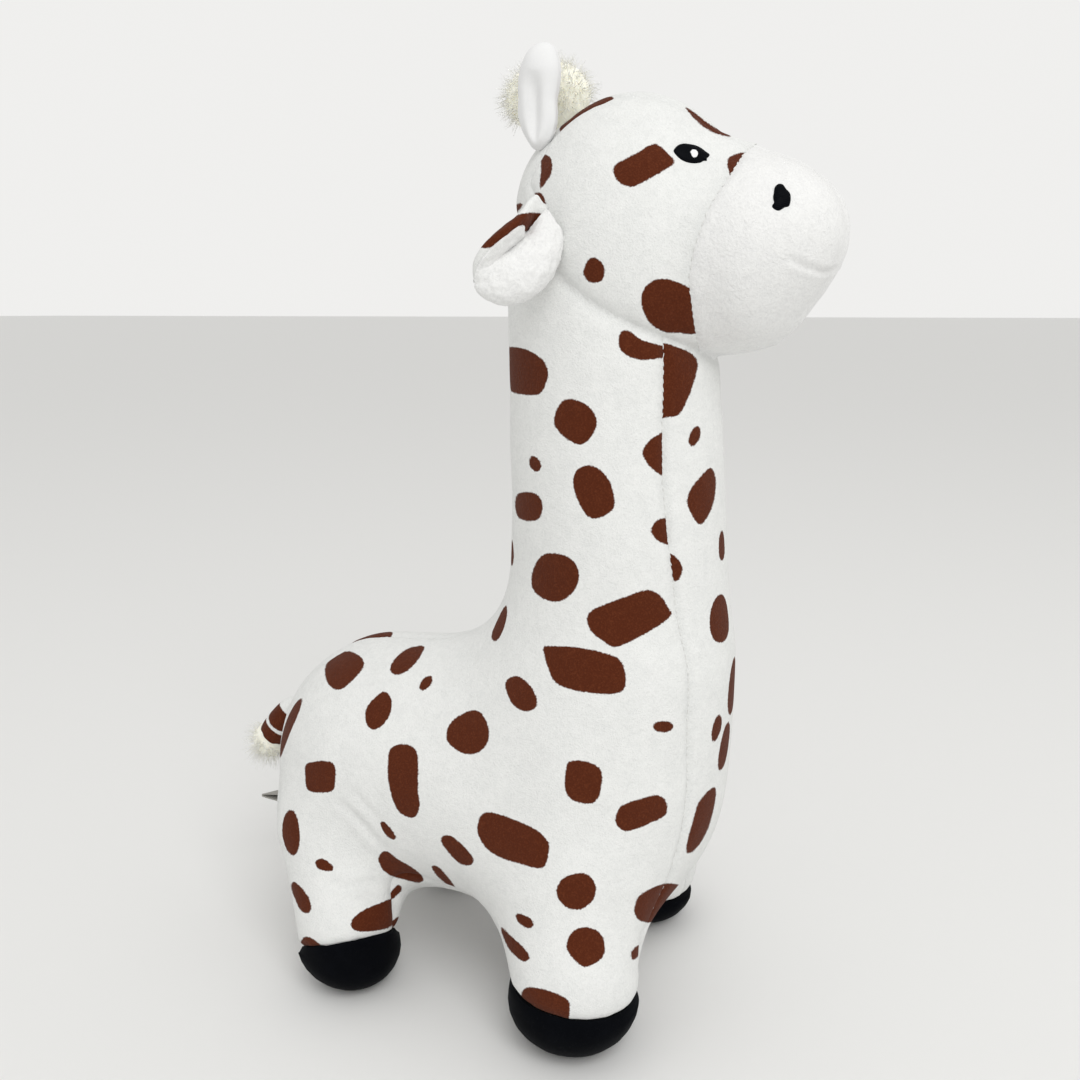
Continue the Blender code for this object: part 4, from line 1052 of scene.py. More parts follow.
plush = new_finish("printed_plush", printed_plush)
body_tree = BVHTree.FromPolygons(body_cloth.tolist(), body_facets)
body_normals, _ = outward(body_distance, body_places)
for pixels, depth, width in BODY_CREASES:
    crease = cast_line(body_tree, pixels)
    for line in (crease, mirrored(crease)):
        body_cloth = creased(body_cloth, body_normals, line, depth, width)
body_tree = BVHTree.FromPolygons(body_cloth.tolist(), body_facets)
FILLINGS = {
    "side_panel_right": ("filling_torso", "filling_leg_front_right", "filling_leg_rear_right"),
    "side_panel_left": ("filling_neck", "filling_leg_front_left", "filling_leg_rear_left"),
    "chest_belly_gusset": (),
}
for seed, panel in enumerate(("chest_belly_gusset", "side_panel_right", "side_panel_left")):
    chosen = [facet for facet, owner in zip(body_facets, body_owners) if owner == panel]
    corners = np.array(sorted({corner for facet in chosen for corner in facet}))
    spot = np.full(len(body_cloth), FAR_OFF)
    places, ways = body_cloth[corners], body_normals[corners]
    value = seen_spots(places, ways, panel, SPOT_OUTLINES)
    ovals = edge_ovals(body_tree, panel, EDGE_OVALS)
    value = np.minimum(value, oval_spots(places, ways, ovals))
    more = scattered(places, ways, value, seed + 11)
    spot[corners] = np.minimum(value, oval_spots(places, ways, more))
    piece = sewn_panel(panel + "_cloth", body_cloth, body_ways, chosen, CLOTH,
                       {"spot": spot, "seam_far": body_seam_far})
    piece.data.materials.append(plush)
    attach(piece, "torso")
    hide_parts(panel, *FILLINGS[panel])

# Hooves: cups of black velvet sewn round the ends of the legs, rounded below by the filling, with a small
# flat sole. The rim leans with the leg, and the seam draws it in.
HOOF_ROUNDING = 19.0 * MM
HOOF_CURVE = 15.5 * MM
HOOF_LIP = 0.5 * MM
HOOF_SWELL = 1.3 * MM
TOES = {"front": 0.0, "rear": 3.5 * MM}
HOOF_SIDES = 72
HOOF_SOLE_SHARES = (0.3, 0.7, 1.0)
HOOF_BEND_RINGS = 8
HOOF_RISE_RINGS = 14
HOOF_LEAST = 2.0 * MM
HOOF_CAP = ((1.2 * MM, 0.6 * MM), (2.4 * MM, 4.0 * MM))
HOOF_TUCK = 1.1 * MM
HOOF_TUCK_REACH = 1.7 * MM
HOOF_DENT = 0.35 * MM
HOOF_DENT_SIZE = 9.0 * MM
HOOF_DENT_START = 4.0 * MM
FORM_REACH = (4.0 * MM, 34.0 * MM)
FORM_HALVINGS = 24
VELVET = (0.0012, 0.0016, 0.0027, 1.0)
VELVET_LIGHT = (0.0042, 0.005, 0.0072, 1.0)


def black_velvet(wire):
    pile = wire.grain(0.35 * MM, 2.0, 0.6)
    brushed = wire.grain(7.0 * MM, 2.0, 0.5)
    return {
        "Base Color": wire.mix(pile.between(0.55, 0.8) * 0.5 + brushed.between(0.4, 0.8) * 0.3,
                               VELVET, VELVET_LIGHT),
        "Roughness": 0.85,
        "Specular IOR Level": 0.05,
        "Sheen Weight": 0.03,
        "Sheen Roughness": 0.35,
        "Normal": wire.bump(pile, 0.5, 0.2 * MM),
    }


velvet = new_finish("black_velvet", black_velvet)


def reach_of_form(centre, angles, heights):
    """How far out the body's form lies from an upright axis, at some angles and heights."""
    low, high = (np.full(len(angles), reach) for reach in FORM_REACH)
    ways = np.stack((np.cos(angles), np.sin(angles)), axis=1)
    for _ in range(FORM_HALVINGS):
        middle = (low + high) / 2
        points = np.column_stack((centre[0] + ways[:, 0] * middle, centre[1] + ways[:, 1] * middle, heights))
        outside = body_distance(points) > 0.0
        high = np.where(outside, middle, high)
        low = np.where(outside, low, middle)
    return low


for label, turn, (place, radius), rim_plane in HOOVES:
    centre = (turn * place[0], place[1])
    angles = math.tau * np.arange(HOOF_SIDES) / HOOF_SIDES
    height, outwards, rearwards = rim_plane
    rim = height + radius * (outwards * turn * np.cos(angles) + rearwards * np.sin(angles))
    rim_reach = reach_of_form(centre, angles, rim)
    wall = np.minimum(radius + HOOF_LIP, rim_reach + HOOF_SWELL)
    knee = np.minimum(HOOF_CURVE, rim - HOOF_LEAST)
    sole = np.maximum(radius + HOOF_LIP - HOOF_ROUNDING, HOOF_LEAST)
    rings = [(sole * share, np.zeros(HOOF_SIDES)) for share in HOOF_SOLE_SHARES]
    for step in range(1, HOOF_BEND_RINGS + 1):
        bend = math.pi / 2 * step / HOOF_BEND_RINGS
        rings.append((sole + (wall - sole) * math.sin(bend), knee * (1.0 - math.cos(bend))))
    for step in range(1, HOOF_RISE_RINGS + 1):
        share = 1.0 - (1.0 - step / HOOF_RISE_RINGS) ** 2
        rise = knee + (rim - knee) * share
        swell = wall + (rim_reach + HOOF_LIP - wall) * share
        tuck = HOOF_TUCK * np.exp(-((rim - rise) / HOOF_TUCK_REACH) ** 1.2)
        rings.append((swell - tuck, rise))
    top = rings[-1][0]
    rings += [(top - inset, rim - drop) for inset, drop in HOOF_CAP]
    toe = TOES[label.split("_")[0]]
    points = [(centre[0], centre[1] - toe, 0.0)]
    for reach, rise in rings:
        across = centre[0] + np.cos(angles) * reach
        along = centre[1] + np.sin(angles) * reach - toe * (1.0 - rise / rim)
        points += np.column_stack((across, along, np.broadcast_to(rise, HOOF_SIDES))).tolist()
    faces = [(0, 1 + (index + 1) % HOOF_SIDES, 1 + index) for index in range(HOOF_SIDES)]
    for ring in range(len(rings) - 1):
        base = 1 + ring * HOOF_SIDES
        for index in range(HOOF_SIDES):
            after = (index + 1) % HOOF_SIDES
            faces.append((base + index, base + after, base + HOOF_SIDES + after, base + HOOF_SIDES + index))
    faces.append(tuple(1 + (len(rings) - 1) * HOOF_SIDES + index for index in range(HOOF_SIDES)))
    places = np.array(points)
    dent = noise_at(places, HOOF_DENT_SIZE, 5.0 + turn + place[1] / MM) * HOOF_DENT
    share = np.clip(places[:, 2] / HOOF_DENT_START, 0.0, 1.0)
    for axis in (0, 1):
        places[:, axis] += (places[:, axis] - centre[axis]) / radius * dent * share
    mesh = bpy.data.meshes.new("hoof")
    mesh.from_pydata(places.tolist(), [], faces)
    mesh.update()
    mesh.shade_smooth()
    mesh.materials.append(velvet)
    hoof = add_piece("hoof_" + label + "_cup", mesh)
    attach(hoof, "torso")
    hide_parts("hoof_" + label)

# Head: two printed side panels, a printed crown panel from the muzzle over the head to the nape, and a plain,
# fuzzier muzzle in two halves that meet in a ridge. It is stuffed firm and sewn round the top of the neck.
HEAD_FACET = 4.2 * MM
MUZZLE_SEAM = (
    (215.0 * MM, -74.5 * MM), (236.0 * MM, -74.8 * MM), (245.0 * MM, -74.6 * MM), (251.5 * MM, -74.1 * MM),
    (259.4 * MM, -75.3 * MM), (271.0 * MM, -78.8 * MM), (282.0 * MM, -83.8 * MM), (290.6 * MM, -86.2 * MM),
    (305.0 * MM, -91.0 * MM),
)
CROWN_CORE = 9.0 * MM
CROWN_SEAM = (
    (-88.9 * MM, 291.0 * MM, 6.0 * MM), (-65.9 * MM, 304.0 * MM, 11.0 * MM),
    (-41.9 * MM, 307.0 * MM, 15.5 * MM), (-24.9 * MM, 292.0 * MM, 20.5 * MM),
    (-20.9 * MM, 279.0 * MM, 27.5 * MM), (-25.9 * MM, 266.0 * MM, 32.5 * MM),
    (-27.9 * MM, 252.0 * MM, 33.5 * MM), (-31.9 * MM, 232.0 * MM, 33.5 * MM),
)
RIDGE = 0.9 * MM
RIDGE_WIDTH = 1.9 * MM
HEAD_SPOTS = (
    (CHEEK, ((652, 144), (660, 146), (674, 160), (671, 166), (640, 184), (631, 187), (619, 183), (613, 172),
             (616, 164), (635, 154))),
    (CHEEK, ((727, 162), (729, 157), (736, 154), (743, 152.5), (750, 157), (744, 166), (732, 178),
             (728.5, 170))),
    (CHEEK, ((641, 300), (646, 286), (658, 279), (672, 280), (690, 288), (708, 300), (708, 325), (695, 334),
             (680, 333), (664, 332), (648, 321))),
    (CHEEK, ((594, 257), (602, 263), (605, 271), (602, 281), (594, 283), (587, 281), (583, 272), (587, 261))),
    (CHEEK, ((541, 157), (546, 154.5), (551, 158), (552.5, 166), (551, 175), (546, 182), (540, 190),
             (540, 180), (541, 168))),
    (CHEEK, ((533, 194), (539, 192), (543, 195), (547, 206), (542, 202), (537, 197))),
    (CHEEK, FOREHEAD_SPOT),
    (CROWN, FOREHEAD_SPOT),
    (CROWN, ((517, 204), (524, 203), (520, 209), (512, 218), (506, 217), (510, 209))),
)
HEAD_OVALS = ((CROWN, (584, 112), 9.5 * MM, 8.0 * MM, 24.0, 2.6),)
MOUTH_LINE = ((784, 257), (795, 262), (808, 267.5), (820, 271), (829, 271.5), (836, 269))
MOUTH_DEPTH = 0.8 * MM
MOUTH_WIDTH = 0.85 * MM
SEAM_PULLS["muzzle"] = (0.5 * MM, 0.9 * MM)
SEAM_PULLS["crown"] = (0.5 * MM, 0.9 * MM)
SEAM_PULLS["ridge"] = (0.4 * MM, 0.6 * MM)


def muzzle_front(points):
    """Below zero on the muzzle."""
    heights, seam = np.array(MUZZLE_SEAM).T
    return points[:, 1] - np.interp(points[:, 2], heights, seam)


core = Vector(CRANIUM[0][1:])
crown_stations = []
for seam_y, seam_z, half_width in CROWN_SEAM:
    ray = (Vector((seam_y, seam_z)) - core).normalized()
    crown_stations.append((core + ray * CROWN_CORE, core + ray * OVERRUN, half_width))


def crown_side(points):
    """Below zero on the crown panel."""
    return np.abs(points[:, 0]) - band_half_width(crown_stations, points[:, 1:], -OVERRUN)


snout_radii = (SNOUT_RADIUS + SNOUT_FLAT, SNOUT_RADIUS, SNOUT_RADIUS)
head_balls = [(place, radii, place, radii) for place, radii in (CRANIUM, CHEEKS, (SNOUT_PLACE, snout_radii))]
head_net = settled_net(head_balls, HEAD_FACET, head_distance)


def neck_opening(points):
    """Below zero where the head's cloth would be lost in the neck."""
    return body_distance(points) + NECK_OVERLAP


for seam in (muzzle_front, crown_side, left_side, neck_opening):
    cut_where_zero(head_net, seam)
head_facets = facet_list(head_net)
head_places = on_form(head_distance, corner_places(head_net))
head_ways, _ = outward(head_distance, head_places)
middles = facet_middles(head_places, head_facets)
head_owners = []
head_values = (muzzle_front(middles), crown_side(middles), neck_opening(middles))
for x, front, crown, body in zip(middles[:, 0], *head_values):
    hand = "left" if x > 0.0 else "right"
    if body < 0.0:
        head_owners.append("neck")
    elif front < 0.0:
        head_owners.append("muzzle_" + hand)
    else:
        head_owners.append("crown_gusset" if crown < 0.0 else "head_side_" + hand)
head_lines = seam_lines(head_facets, head_owners)


def is_muzzle(owners):
    return {owner for owner in owners if owner.startswith("muzzle")}


head_pulled = {
    "ridge": [line for line in head_lines if len(is_muzzle(line[1])) == 2],
    "muzzle": [line for line in head_lines if len(is_muzzle(line[1])) == 1 and "neck" not in line[1]],
    "crown": [line for line in head_lines if not is_muzzle(line[1]) and "neck" not in line[1]],
}
head_pulled_points = {kind: along_lines(head_places, lines) for kind, lines in head_pulled.items()}
head_pulled_points["neck"] = crossings(head_places, head_facets, body_distance)
crest_line = tree_of(head_pulled_points["ridge"])
ridge_far, _ = distances_to(crest_line, head_places)
raised = head_places + head_ways * (RIDGE * np.exp(-((ridge_far / RIDGE_WIDTH) ** 2)))[:, None]
head_cloth, head_seam_far = sewn_in(raised, head_ways, head_pulled_points)


head_tree = BVHTree.FromPolygons(head_cloth.tolist(), head_facets)
mouth = cast_line(head_tree, MOUTH_LINE)
for line in (mouth, mirrored(mouth)):
    head_cloth = creased(head_cloth, head_ways, line, MOUTH_DEPTH, MOUTH_WIDTH)
head_tree = BVHTree.FromPolygons(head_cloth.tolist(), head_facets)

MUZZLE_WHITE = (0.83, 0.83, 0.82, 1.0)
MUZZLE_SHADE = (0.70, 0.70, 0.70, 1.0)


def muzzle_plush(wire):
    pile = wire.grain(0.8 * MM, 3.0, 0.65)
    tufts = wire.grain(3.2 * MM, 3.0, 0.6, 0.8)
    # painted shade: the white is darkened within a few millimetres of a seam, where the fold lies in shade
    fold = wire.attribute("seam_far").between(2.6 * MM, 0.2 * MM)
    return {
        "Base Color": wire.mix(pile.between(0.62, 0.30) * 0.4 + tufts.between(0.6, 0.3) * 0.25 + fold * 0.2,
                               MUZZLE_WHITE, MUZZLE_SHADE),
        "Roughness": 0.97,
        "Specular IOR Level": 0.15,
        "Sheen Weight": 0.3,
        "Sheen Roughness": 0.5,
        "Normal": wire.bump(pile * 0.45 + tufts * 0.55, 0.8, 0.8 * MM),
    }


fuzzy_white = new_finish("muzzle_plush", muzzle_plush)
HEAD_PANELS = ("crown_gusset", "head_side_right", "head_side_left", "muzzle_right", "muzzle_left")
for seed, panel in enumerate(HEAD_PANELS):
    chosen = [facet for facet, owner in zip(head_facets, head_owners) if owner == panel]
    values = {"seam_far": head_seam_far}
    plain = panel.startswith("muzzle")
    if not plain:
        corners = np.array(sorted({corner for facet in chosen for corner in facet}))
        spot = np.full(len(head_cloth), FAR_OFF)
        places, ways = head_cloth[corners], head_ways[corners]
        value = seen_spots(places, ways, panel, HEAD_SPOTS)
        value = np.minimum(value, oval_spots(places, ways, edge_ovals(head_tree, panel, HEAD_OVALS)))
        spot[corners] = np.minimum(value, oval_spots(places, ways, scattered(places, ways, value, seed + 31)))
        values["spot"] = spot
    piece = sewn_panel(panel + "_cloth", head_cloth, head_ways, chosen, CLOTH, values)
    piece.data.materials.append(fuzzy_white if plain else plush)
    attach(piece, "torso")
    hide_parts(panel, *(("filling_head",) if panel == "crown_gusset" else ()))

# Embroidery: eyes, their glints and the nostrils are satin stitches of shiny thread laid side by side over
# the cloth, raised in the middle and ragged where the threads turn at the edge.
THREAD_RISE = 0.9 * MM
THREAD_PITCH = 0.55 * MM
THREAD_GROOVE = 0.09 * MM
THREAD_SINK = 1.2 * MM
PAD_SPLITS = 10
PAD_SIDES = 120
PAD_RINGS = 22
PAD_CROWDING = 1.2
GLINT_RISE = 0.45 * MM
GLINT_LIFT = 0.75 * MM
# Outlines in the photograph's pixels
EYE = (
    (673.6, 151.5), (675, 148), (678.6, 144.9), (683, 143.7), (689, 144.1), (695.4, 145.6), (701, 148.3),
    (705.5, 151.6), (709.6, 154.6), (708.6, 156.8), (707, 158.4), (706.8, 160.8), (703.6, 161),
    (700.6, 162.6), (695, 163.4), (688.3, 162.7), (682, 160.2), (677, 156.2),
)
GLINT = (
    (689.2, 153.4), (690.8, 151.3), (693.5, 151.2), (696, 152.9), (697, 155.4), (696, 158), (693.5, 159.2),
    (691.3, 158.2), (690, 156),
)
NOSTRIL = (
    (779.8, 183.9), (783.1, 185), (786, 189), (789.8, 193.2), (790.8, 198), (790, 204), (788.4, 206.6),
    (784.6, 207.6), (779.4, 210.6), (775.4, 209.9), (772.2, 207.2), (772.5, 205), (774, 202.6), (773, 198),
    (773.7, 193), (774.5, 188), (776.6, 185),
)
# Each thread colour runs from a dark to a light tone: painted shade in the grooves between threads, painted
# highlight on their crests
BLACK = (0.0008, 0.001, 0.0016, 1.0)
BLACK_PAINTED_SHINE = (0.0034, 0.0042, 0.0062, 1.0)
GLINT_WHITE = (0.93, 0.93, 0.93, 1.0)
GLINT_SHADE = (0.80, 0.80, 0.80, 1.0)


def thread_finish(name, dark, light):
    def sockets(wire):
        strand = wire.grain(0.3 * MM, 2.0, 0.6)
        groove = wire.attribute("groove")
        return {
            # painted highlight and painted shade: lighter on each thread's crest, darker in the grooves, with
            # a random tone along the strands
            "Base Color": wire.mix(groove * 0.7 + strand * 0.3, dark, light),
            "Roughness": 0.45,
            "Specular IOR Level": 0.03,
            "Normal": wire.bump(strand, 0.35, 0.12 * MM),
        }

    return new_finish(name, sockets)


black_thread = thread_finish("black_thread", BLACK, BLACK_PAINTED_SHINE)
white_thread = thread_finish("white_thread", GLINT_SHADE, GLINT_WHITE)


def satin_pad(name, outline, thread_turn, rise, lift, finish):
    """A raised patch of side-by-side threads inside an outline of the photograph, and its mirror image."""
    line = along_curve(outline, PAD_SPLITS)
    steps = np.linspace(0.0, len(line), PAD_SIDES, endpoint=False)
    pixels = [line[int(step)] for step in steps]
    edge = np.array([head_tree.ray_cast(CAMERA_PLACE, photo_ray(*pixel))[0] for pixel in pixels])
    middle = edge.mean(axis=0)
    shares = 1.0 - (np.arange(PAD_RINGS) / PAD_RINGS) ** PAD_CROWDING
    points = np.vstack([middle + (edge - middle) * share for share in shares] + [middle[None, :]])
    points = on_form(head_distance, points)
    for _ in range(2):
        found = [head_tree.find_nearest(point) for point in points]
        points = np.array([item[0] for item in found])
    ways, _ = outward(head_distance, points)
    around = np.concatenate([np.full(PAD_SIDES, share) for share in shares] + [np.zeros(1)])
    flat = arc_offsets(points, ways, middle, ways[-1])
    lay = flat[:, 0] * math.cos(thread_turn) + flat[:, 1] * math.sin(thread_turn)
    groove = 0.5 + 0.5 * np.cos(math.tau * lay / THREAD_PITCH)
    height = lift + rise * np.sqrt(np.clip(1.0 - around**3, 0.0, 1.0))
    height -= THREAD_GROOVE * (1.0 - groove) * (around < 1.0)
    top = points + ways * height[:, None]
    bottom = points[:PAD_SIDES] - ways[:PAD_SIDES] * THREAD_SINK
    base = points[-1:] - ways[-1:] * THREAD_SINK
    faces = []
    for ring in range(PAD_RINGS - 1):
        for index in range(PAD_SIDES):
            after = (index + 1) % PAD_SIDES
            faces.append((ring * PAD_SIDES + index, ring * PAD_SIDES + after,
                          (ring + 1) * PAD_SIDES + after, (ring + 1) * PAD_SIDES + index))
    last, tip = (PAD_RINGS - 1) * PAD_SIDES, PAD_RINGS * PAD_SIDES
    low, low_middle = tip + 1, tip + 1 + PAD_SIDES
    for index in range(PAD_SIDES):
        after = (index + 1) % PAD_SIDES
        faces.append((last + index, last + after, tip))
        faces.append((after, index, low + index, low + after))
        faces.append((low + after, low + index, low_middle))
    places = np.vstack((top, bottom, base))
    for hand in ("right", "left"):
        mesh = closed_mesh(name, (places if hand == "right" else mirrored(places)).tolist(), faces)
        mesh.shade_smooth()
        # the groove value also paints the threads lighter on their crests and darker in the grooves, as
        # painted highlight and shade
        keep_value(mesh, "groove", np.concatenate((groove, np.zeros(PAD_SIDES + 1))))
        mesh.materials.append(finish)
        pad = add_piece(name + "_" + hand + "_stitches", mesh)
        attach(pad, "torso")
        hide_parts(name + "_" + hand)


satin_pad("eye", EYE, math.radians(168.0), THREAD_RISE, 0.0, black_thread)
satin_pad("eye_glint", GLINT, math.radians(90.0), GLINT_RISE, GLINT_LIFT, white_thread)
satin_pad("nostril", NOSTRIL, math.radians(75.0), THREAD_RISE, 0.0, black_thread)

# Ears: a back of printed plush and a fuzzier white lining, sewn together and turned so that the back rolls
# over the upper edge, then folded once along their length and gathered at the root.
EAR_ROOT = Vector((-38.26 * MM, -33.74 * MM, 265.15 * MM))
EAR_OUTWARD = Vector((-0.60, 0.62, -0.50)).normalized()
EAR_OPENING = Vector((-0.76, -0.64, 0.12))
EAR_OPENING = (EAR_OPENING - EAR_OUTWARD * EAR_OPENING.dot(EAR_OUTWARD)).normalized()
EAR_UP = EAR_OPENING.cross(EAR_OUTWARD)
EAR_UP = EAR_UP if EAR_UP.z > 0.0 else -EAR_UP
EAR_LENGTH = 27.4 * MM
# Round the leaf: across (up) and towards the opening, in shares of the half width; lining from first to last
EAR_LOOP = (
    (1.00, 0.10, 0), (0.97, 0.34, 0), (0.84, 0.42, 0), (0.66, 0.32, 1), (0.50, 0.06, 1), (0.38, -0.22, 1),
    (0.27, -0.02, 1), (0.05, 0.18, 1), (-0.25, 0.28, 1), (-0.55, 0.28, 1), (-0.82, 0.17, 1),
    (-0.98, -0.03, 1), (-1.00, -0.22, 0), (-0.80, -0.40, 0), (-0.40, -0.56, 0), (0.05, -0.62, 0),
    (0.50, -0.54, 0), (0.85, -0.24, 0),
)
# Along the leaf: share of the length, half width, thickness, depth of the fold, lean to the opening, rise
EAR_STATIONS = (
    (-0.11, 5.0, 0.30, 0.0, 0.0, 4.6), (-0.092, 7.9, 0.42, 0.1, 0.0, 4.6), (0.0, 9.1, 0.58, 0.5, 0.0, 3.0),
    (0.095, 9.8, 0.78, 1.0, 0.6, 1.7), (0.21, 10.1, 1.0, 1.3, 1.2, 0.0), (0.365, 10.6, 1.15, 1.3, 1.8, -1.1),
    (0.53, 10.8, 1.15, 1.0, 2.0, -1.6), (0.70, 10.1, 1.1, 0.6, 1.6, -1.6), (0.85, 8.4, 0.95, 0.25, 0.6, -1.6),
    (0.93, 6.4, 0.75, 0.0, -0.2, -1.5), (0.98, 3.8, 0.6, 0.0, -1.0, -1.4), (1.0, 1.8, 0.5, 0.0, -1.4, -1.4),
)
EAR_LINING_LIFT = 0.9 * MM
EAR_LINING_CLOTH = 1.2 * MM
EAR_TUFT = 0.3 * MM
EAR_TUFT_SIZE = 3.0 * MM
EAR_SPOT = (
    (479, 247), (481, 236), (490, 226), (500, 219), (512, 216), (529, 212.5), (539, 213), (546.5, 217.5),
    (549, 222), (546, 226.5), (539, 227), (531, 230), (522, 232.5), (511, 236), (502, 239), (497, 243),
    (490, 248),
)
EAR_SPOT_SEED = 51
EAR_SPOT_KINDS = SPOT_KINDS[:2] + SPOT_KINDS[5:]
EAR_SPLITS = 3
EAR_FUZZ = 0.25 * MM
EAR_FUZZ_SIZE = 1.4 * MM
# The fold runs along one point of the loop and draws its neighbours in less; it hangs between two others
FOLD_POINT = 5
FOLD_ENDS = (3, 7)
FOLD_WEIGHTS = ((3, 0.15), (4, 0.6), (5, 1.0), (6, 0.55))
FOLD_FLATNESS = 0.9
LINED_RING = 4
LINED_UP = 0.3

loop = np.array(EAR_LOOP)
rings = []
for share, half, thick, fold, lean, rise in EAR_STATIONS:
    across = loop[:, 0] * half
    forward = loop[:, 1] * half * thick
    depth = forward.copy()
    flat = np.interp(FOLD_POINT, FOLD_ENDS, loop[list(FOLD_ENDS), 1]) * half * thick * FOLD_FLATNESS
    for point, weight in FOLD_WEIGHTS:
        drawn = forward[point] - flat
        depth[point] = flat + drawn * fold * weight + (1.0 - weight) * drawn * (1.0 - fold * 0.5)
    middle = EAR_ROOT + EAR_OUTWARD * (EAR_LENGTH * share) + EAR_OPENING * (lean * MM)
    middle += EAR_UP * (rise * MM)
    rings.append([middle + EAR_UP * (up * MM) + EAR_OPENING * (out * MM) for up, out in zip(across, depth)])
corners = [tuple(point) for ring in rings for point in ring]
sides_round = len(loop)
faces = [tuple(range(sides_round))]
faces += [(base + index, base + sides_round + index, base + sides_round + (index + 1) % sides_round,
           base + (index + 1) % sides_round)
          for base in range(0, sides_round * (len(rings) - 1), sides_round) for index in range(sides_round)]
faces.append(tuple(reversed(range(sides_round * (len(rings) - 1), sides_round * len(rings)))))
leaf = closed_mesh("ear_leaf", corners, faces)
keep_value(leaf, "lined", [float(mark and 0 < ring and (ring > LINED_RING or up < LINED_UP))
                           for ring in range(len(rings)) for up, _, mark in loop])
leaf = divided("ear_leaf", leaf, EAR_SPLITS)
ear_places = place_of(leaf)
ear_ways = ways_of(leaf).astype(float)
ear_lined = np.empty(len(ear_places), np.float32)
leaf.attributes["lined"].data.foreach_get("value", ear_lined)
ear_facets = [list(polygon.vertices) for polygon in leaf.polygons]
ear_places += ear_ways * (noise_at(ear_places, EAR_TUFT_SIZE, 2.2) * EAR_TUFT)[:, None]
for hand in ("right", "left"):
    flip = mirrored if hand == "left" else np.array
    wound = [facet[::-1] for facet in ear_facets] if hand == "left" else ear_facets
    places, ways = flip(ear_places), flip(ear_ways)
    seen_outlines = (("right", EAR_SPOT),)
    spot = seen_spots(places, ways, hand, seen_outlines)
    more = scattered(places, ways, spot, EAR_SPOT_SEED, EAR_SPOT_KINDS)
    spot = np.minimum(spot, oval_spots(places, ways, more))
    back = sewn_panel("ear_back_" + hand + "_cloth", places, ways, wound, CLOTH,
                      {"spot": spot, "seam_far": np.full(len(places), FAR_OFF)})
    back.data.materials.append(plush)
    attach(back, "ear_" + hand)
    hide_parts("ear_back_" + hand)
    chosen = [facet for facet in wound if ear_lined[facet].mean() > 0.5]
    fuzz = noise_at(ear_places, EAR_FUZZ_SIZE, 8.0) * EAR_FUZZ
    lifted = places + ways * (EAR_LINING_LIFT + fuzz)[:, None]
    lining = sewn_panel("ear_lining_" + hand + "_cloth", lifted, ways, chosen, EAR_LINING_CLOTH,
                        {"seam_far": np.full(len(places), FAR_OFF)})
    lining.data.materials.append(fuzzy_white)
    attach(lining, "ear_" + hand)
    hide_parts("ear_lining_" + hand)

# Horns: flat, lightly filled tubes of smooth white cloth, turned through the open end, pleated where the
# thread gathers them at the root, and sewn to the crown seam.
HORN_ROOT = (-18.30 * MM, -22.19 * MM, 295.47 * MM)
HORN_LENGTH = 28.4 * MM
HORN_DEPTH = 13.8 * MM
HORN_THICKNESS = 9.6 * MM
HORN_BEND = 1.1 * MM
HORN_SIDES = 40
HORN_RINGS = 30
HORN_SPLITS = 2
HORN_PLEAT = 0.62
HORN_PLEAT_START = -0.05
HORN_PLEAT_LENGTH = 0.74
HORN_GATHER_END = 0.45
HORN_GATHERS = 7.0
HORN_EDGE_SHARE = 0.16
HORN_PLEAT_SHARE = 0.34
HORN_PUCKER = 0.28 * MM
HORN_EDGE_SEAM = 0.35 * MM
HORN_DENT = 0.45 * MM
HORN_DENT_SIZE = 8.0 * MM
# Share of the length, then shares of the depth and of the thickness
HORN_PROFILE = (
    (-0.12, 0.16, 0.20), (-0.10, 0.26, 0.42), (-0.06, 0.40, 0.60), (0.0, 0.58, 0.70), (0.08, 0.76, 0.74),
    (0.18, 0.93, 0.78), (0.28, 0.98, 0.84), (0.40, 0.93, 0.92), (0.50, 0.98, 0.98), (0.62, 1.0, 1.0),
    (0.72, 0.97, 1.0), (0.82, 0.85, 0.94), (0.90, 0.69, 0.80), (0.95, 0.55, 0.62), (0.985, 0.36, 0.42),
    (1.0, 0.18, 0.22),
)
HORN_DIRECTIONS = {"right": Vector((-0.03, -0.09, 1.0)), "left": Vector((0.16, 0.34, 0.94))}
HORN_WHITE = (0.80, 0.80, 0.80, 1.0)
HORN_SHADE = (0.72, 0.725, 0.73, 1.0)


def smooth_cloth(wire):
    nap = wire.grain(0.3 * MM, 2.0, 0.6)
    soft = wire.grain(5.0 * MM, 2.0, 0.5)
    return {
        "Base Color": wire.mix(nap * 0.3 + soft * 0.3, HORN_WHITE, HORN_SHADE),
        "Roughness": 0.8,
        "Sheen Weight": 0.25,
        "Sheen Roughness": 0.4,
        "Normal": wire.bump(nap, 0.3, 0.12 * MM),
    }


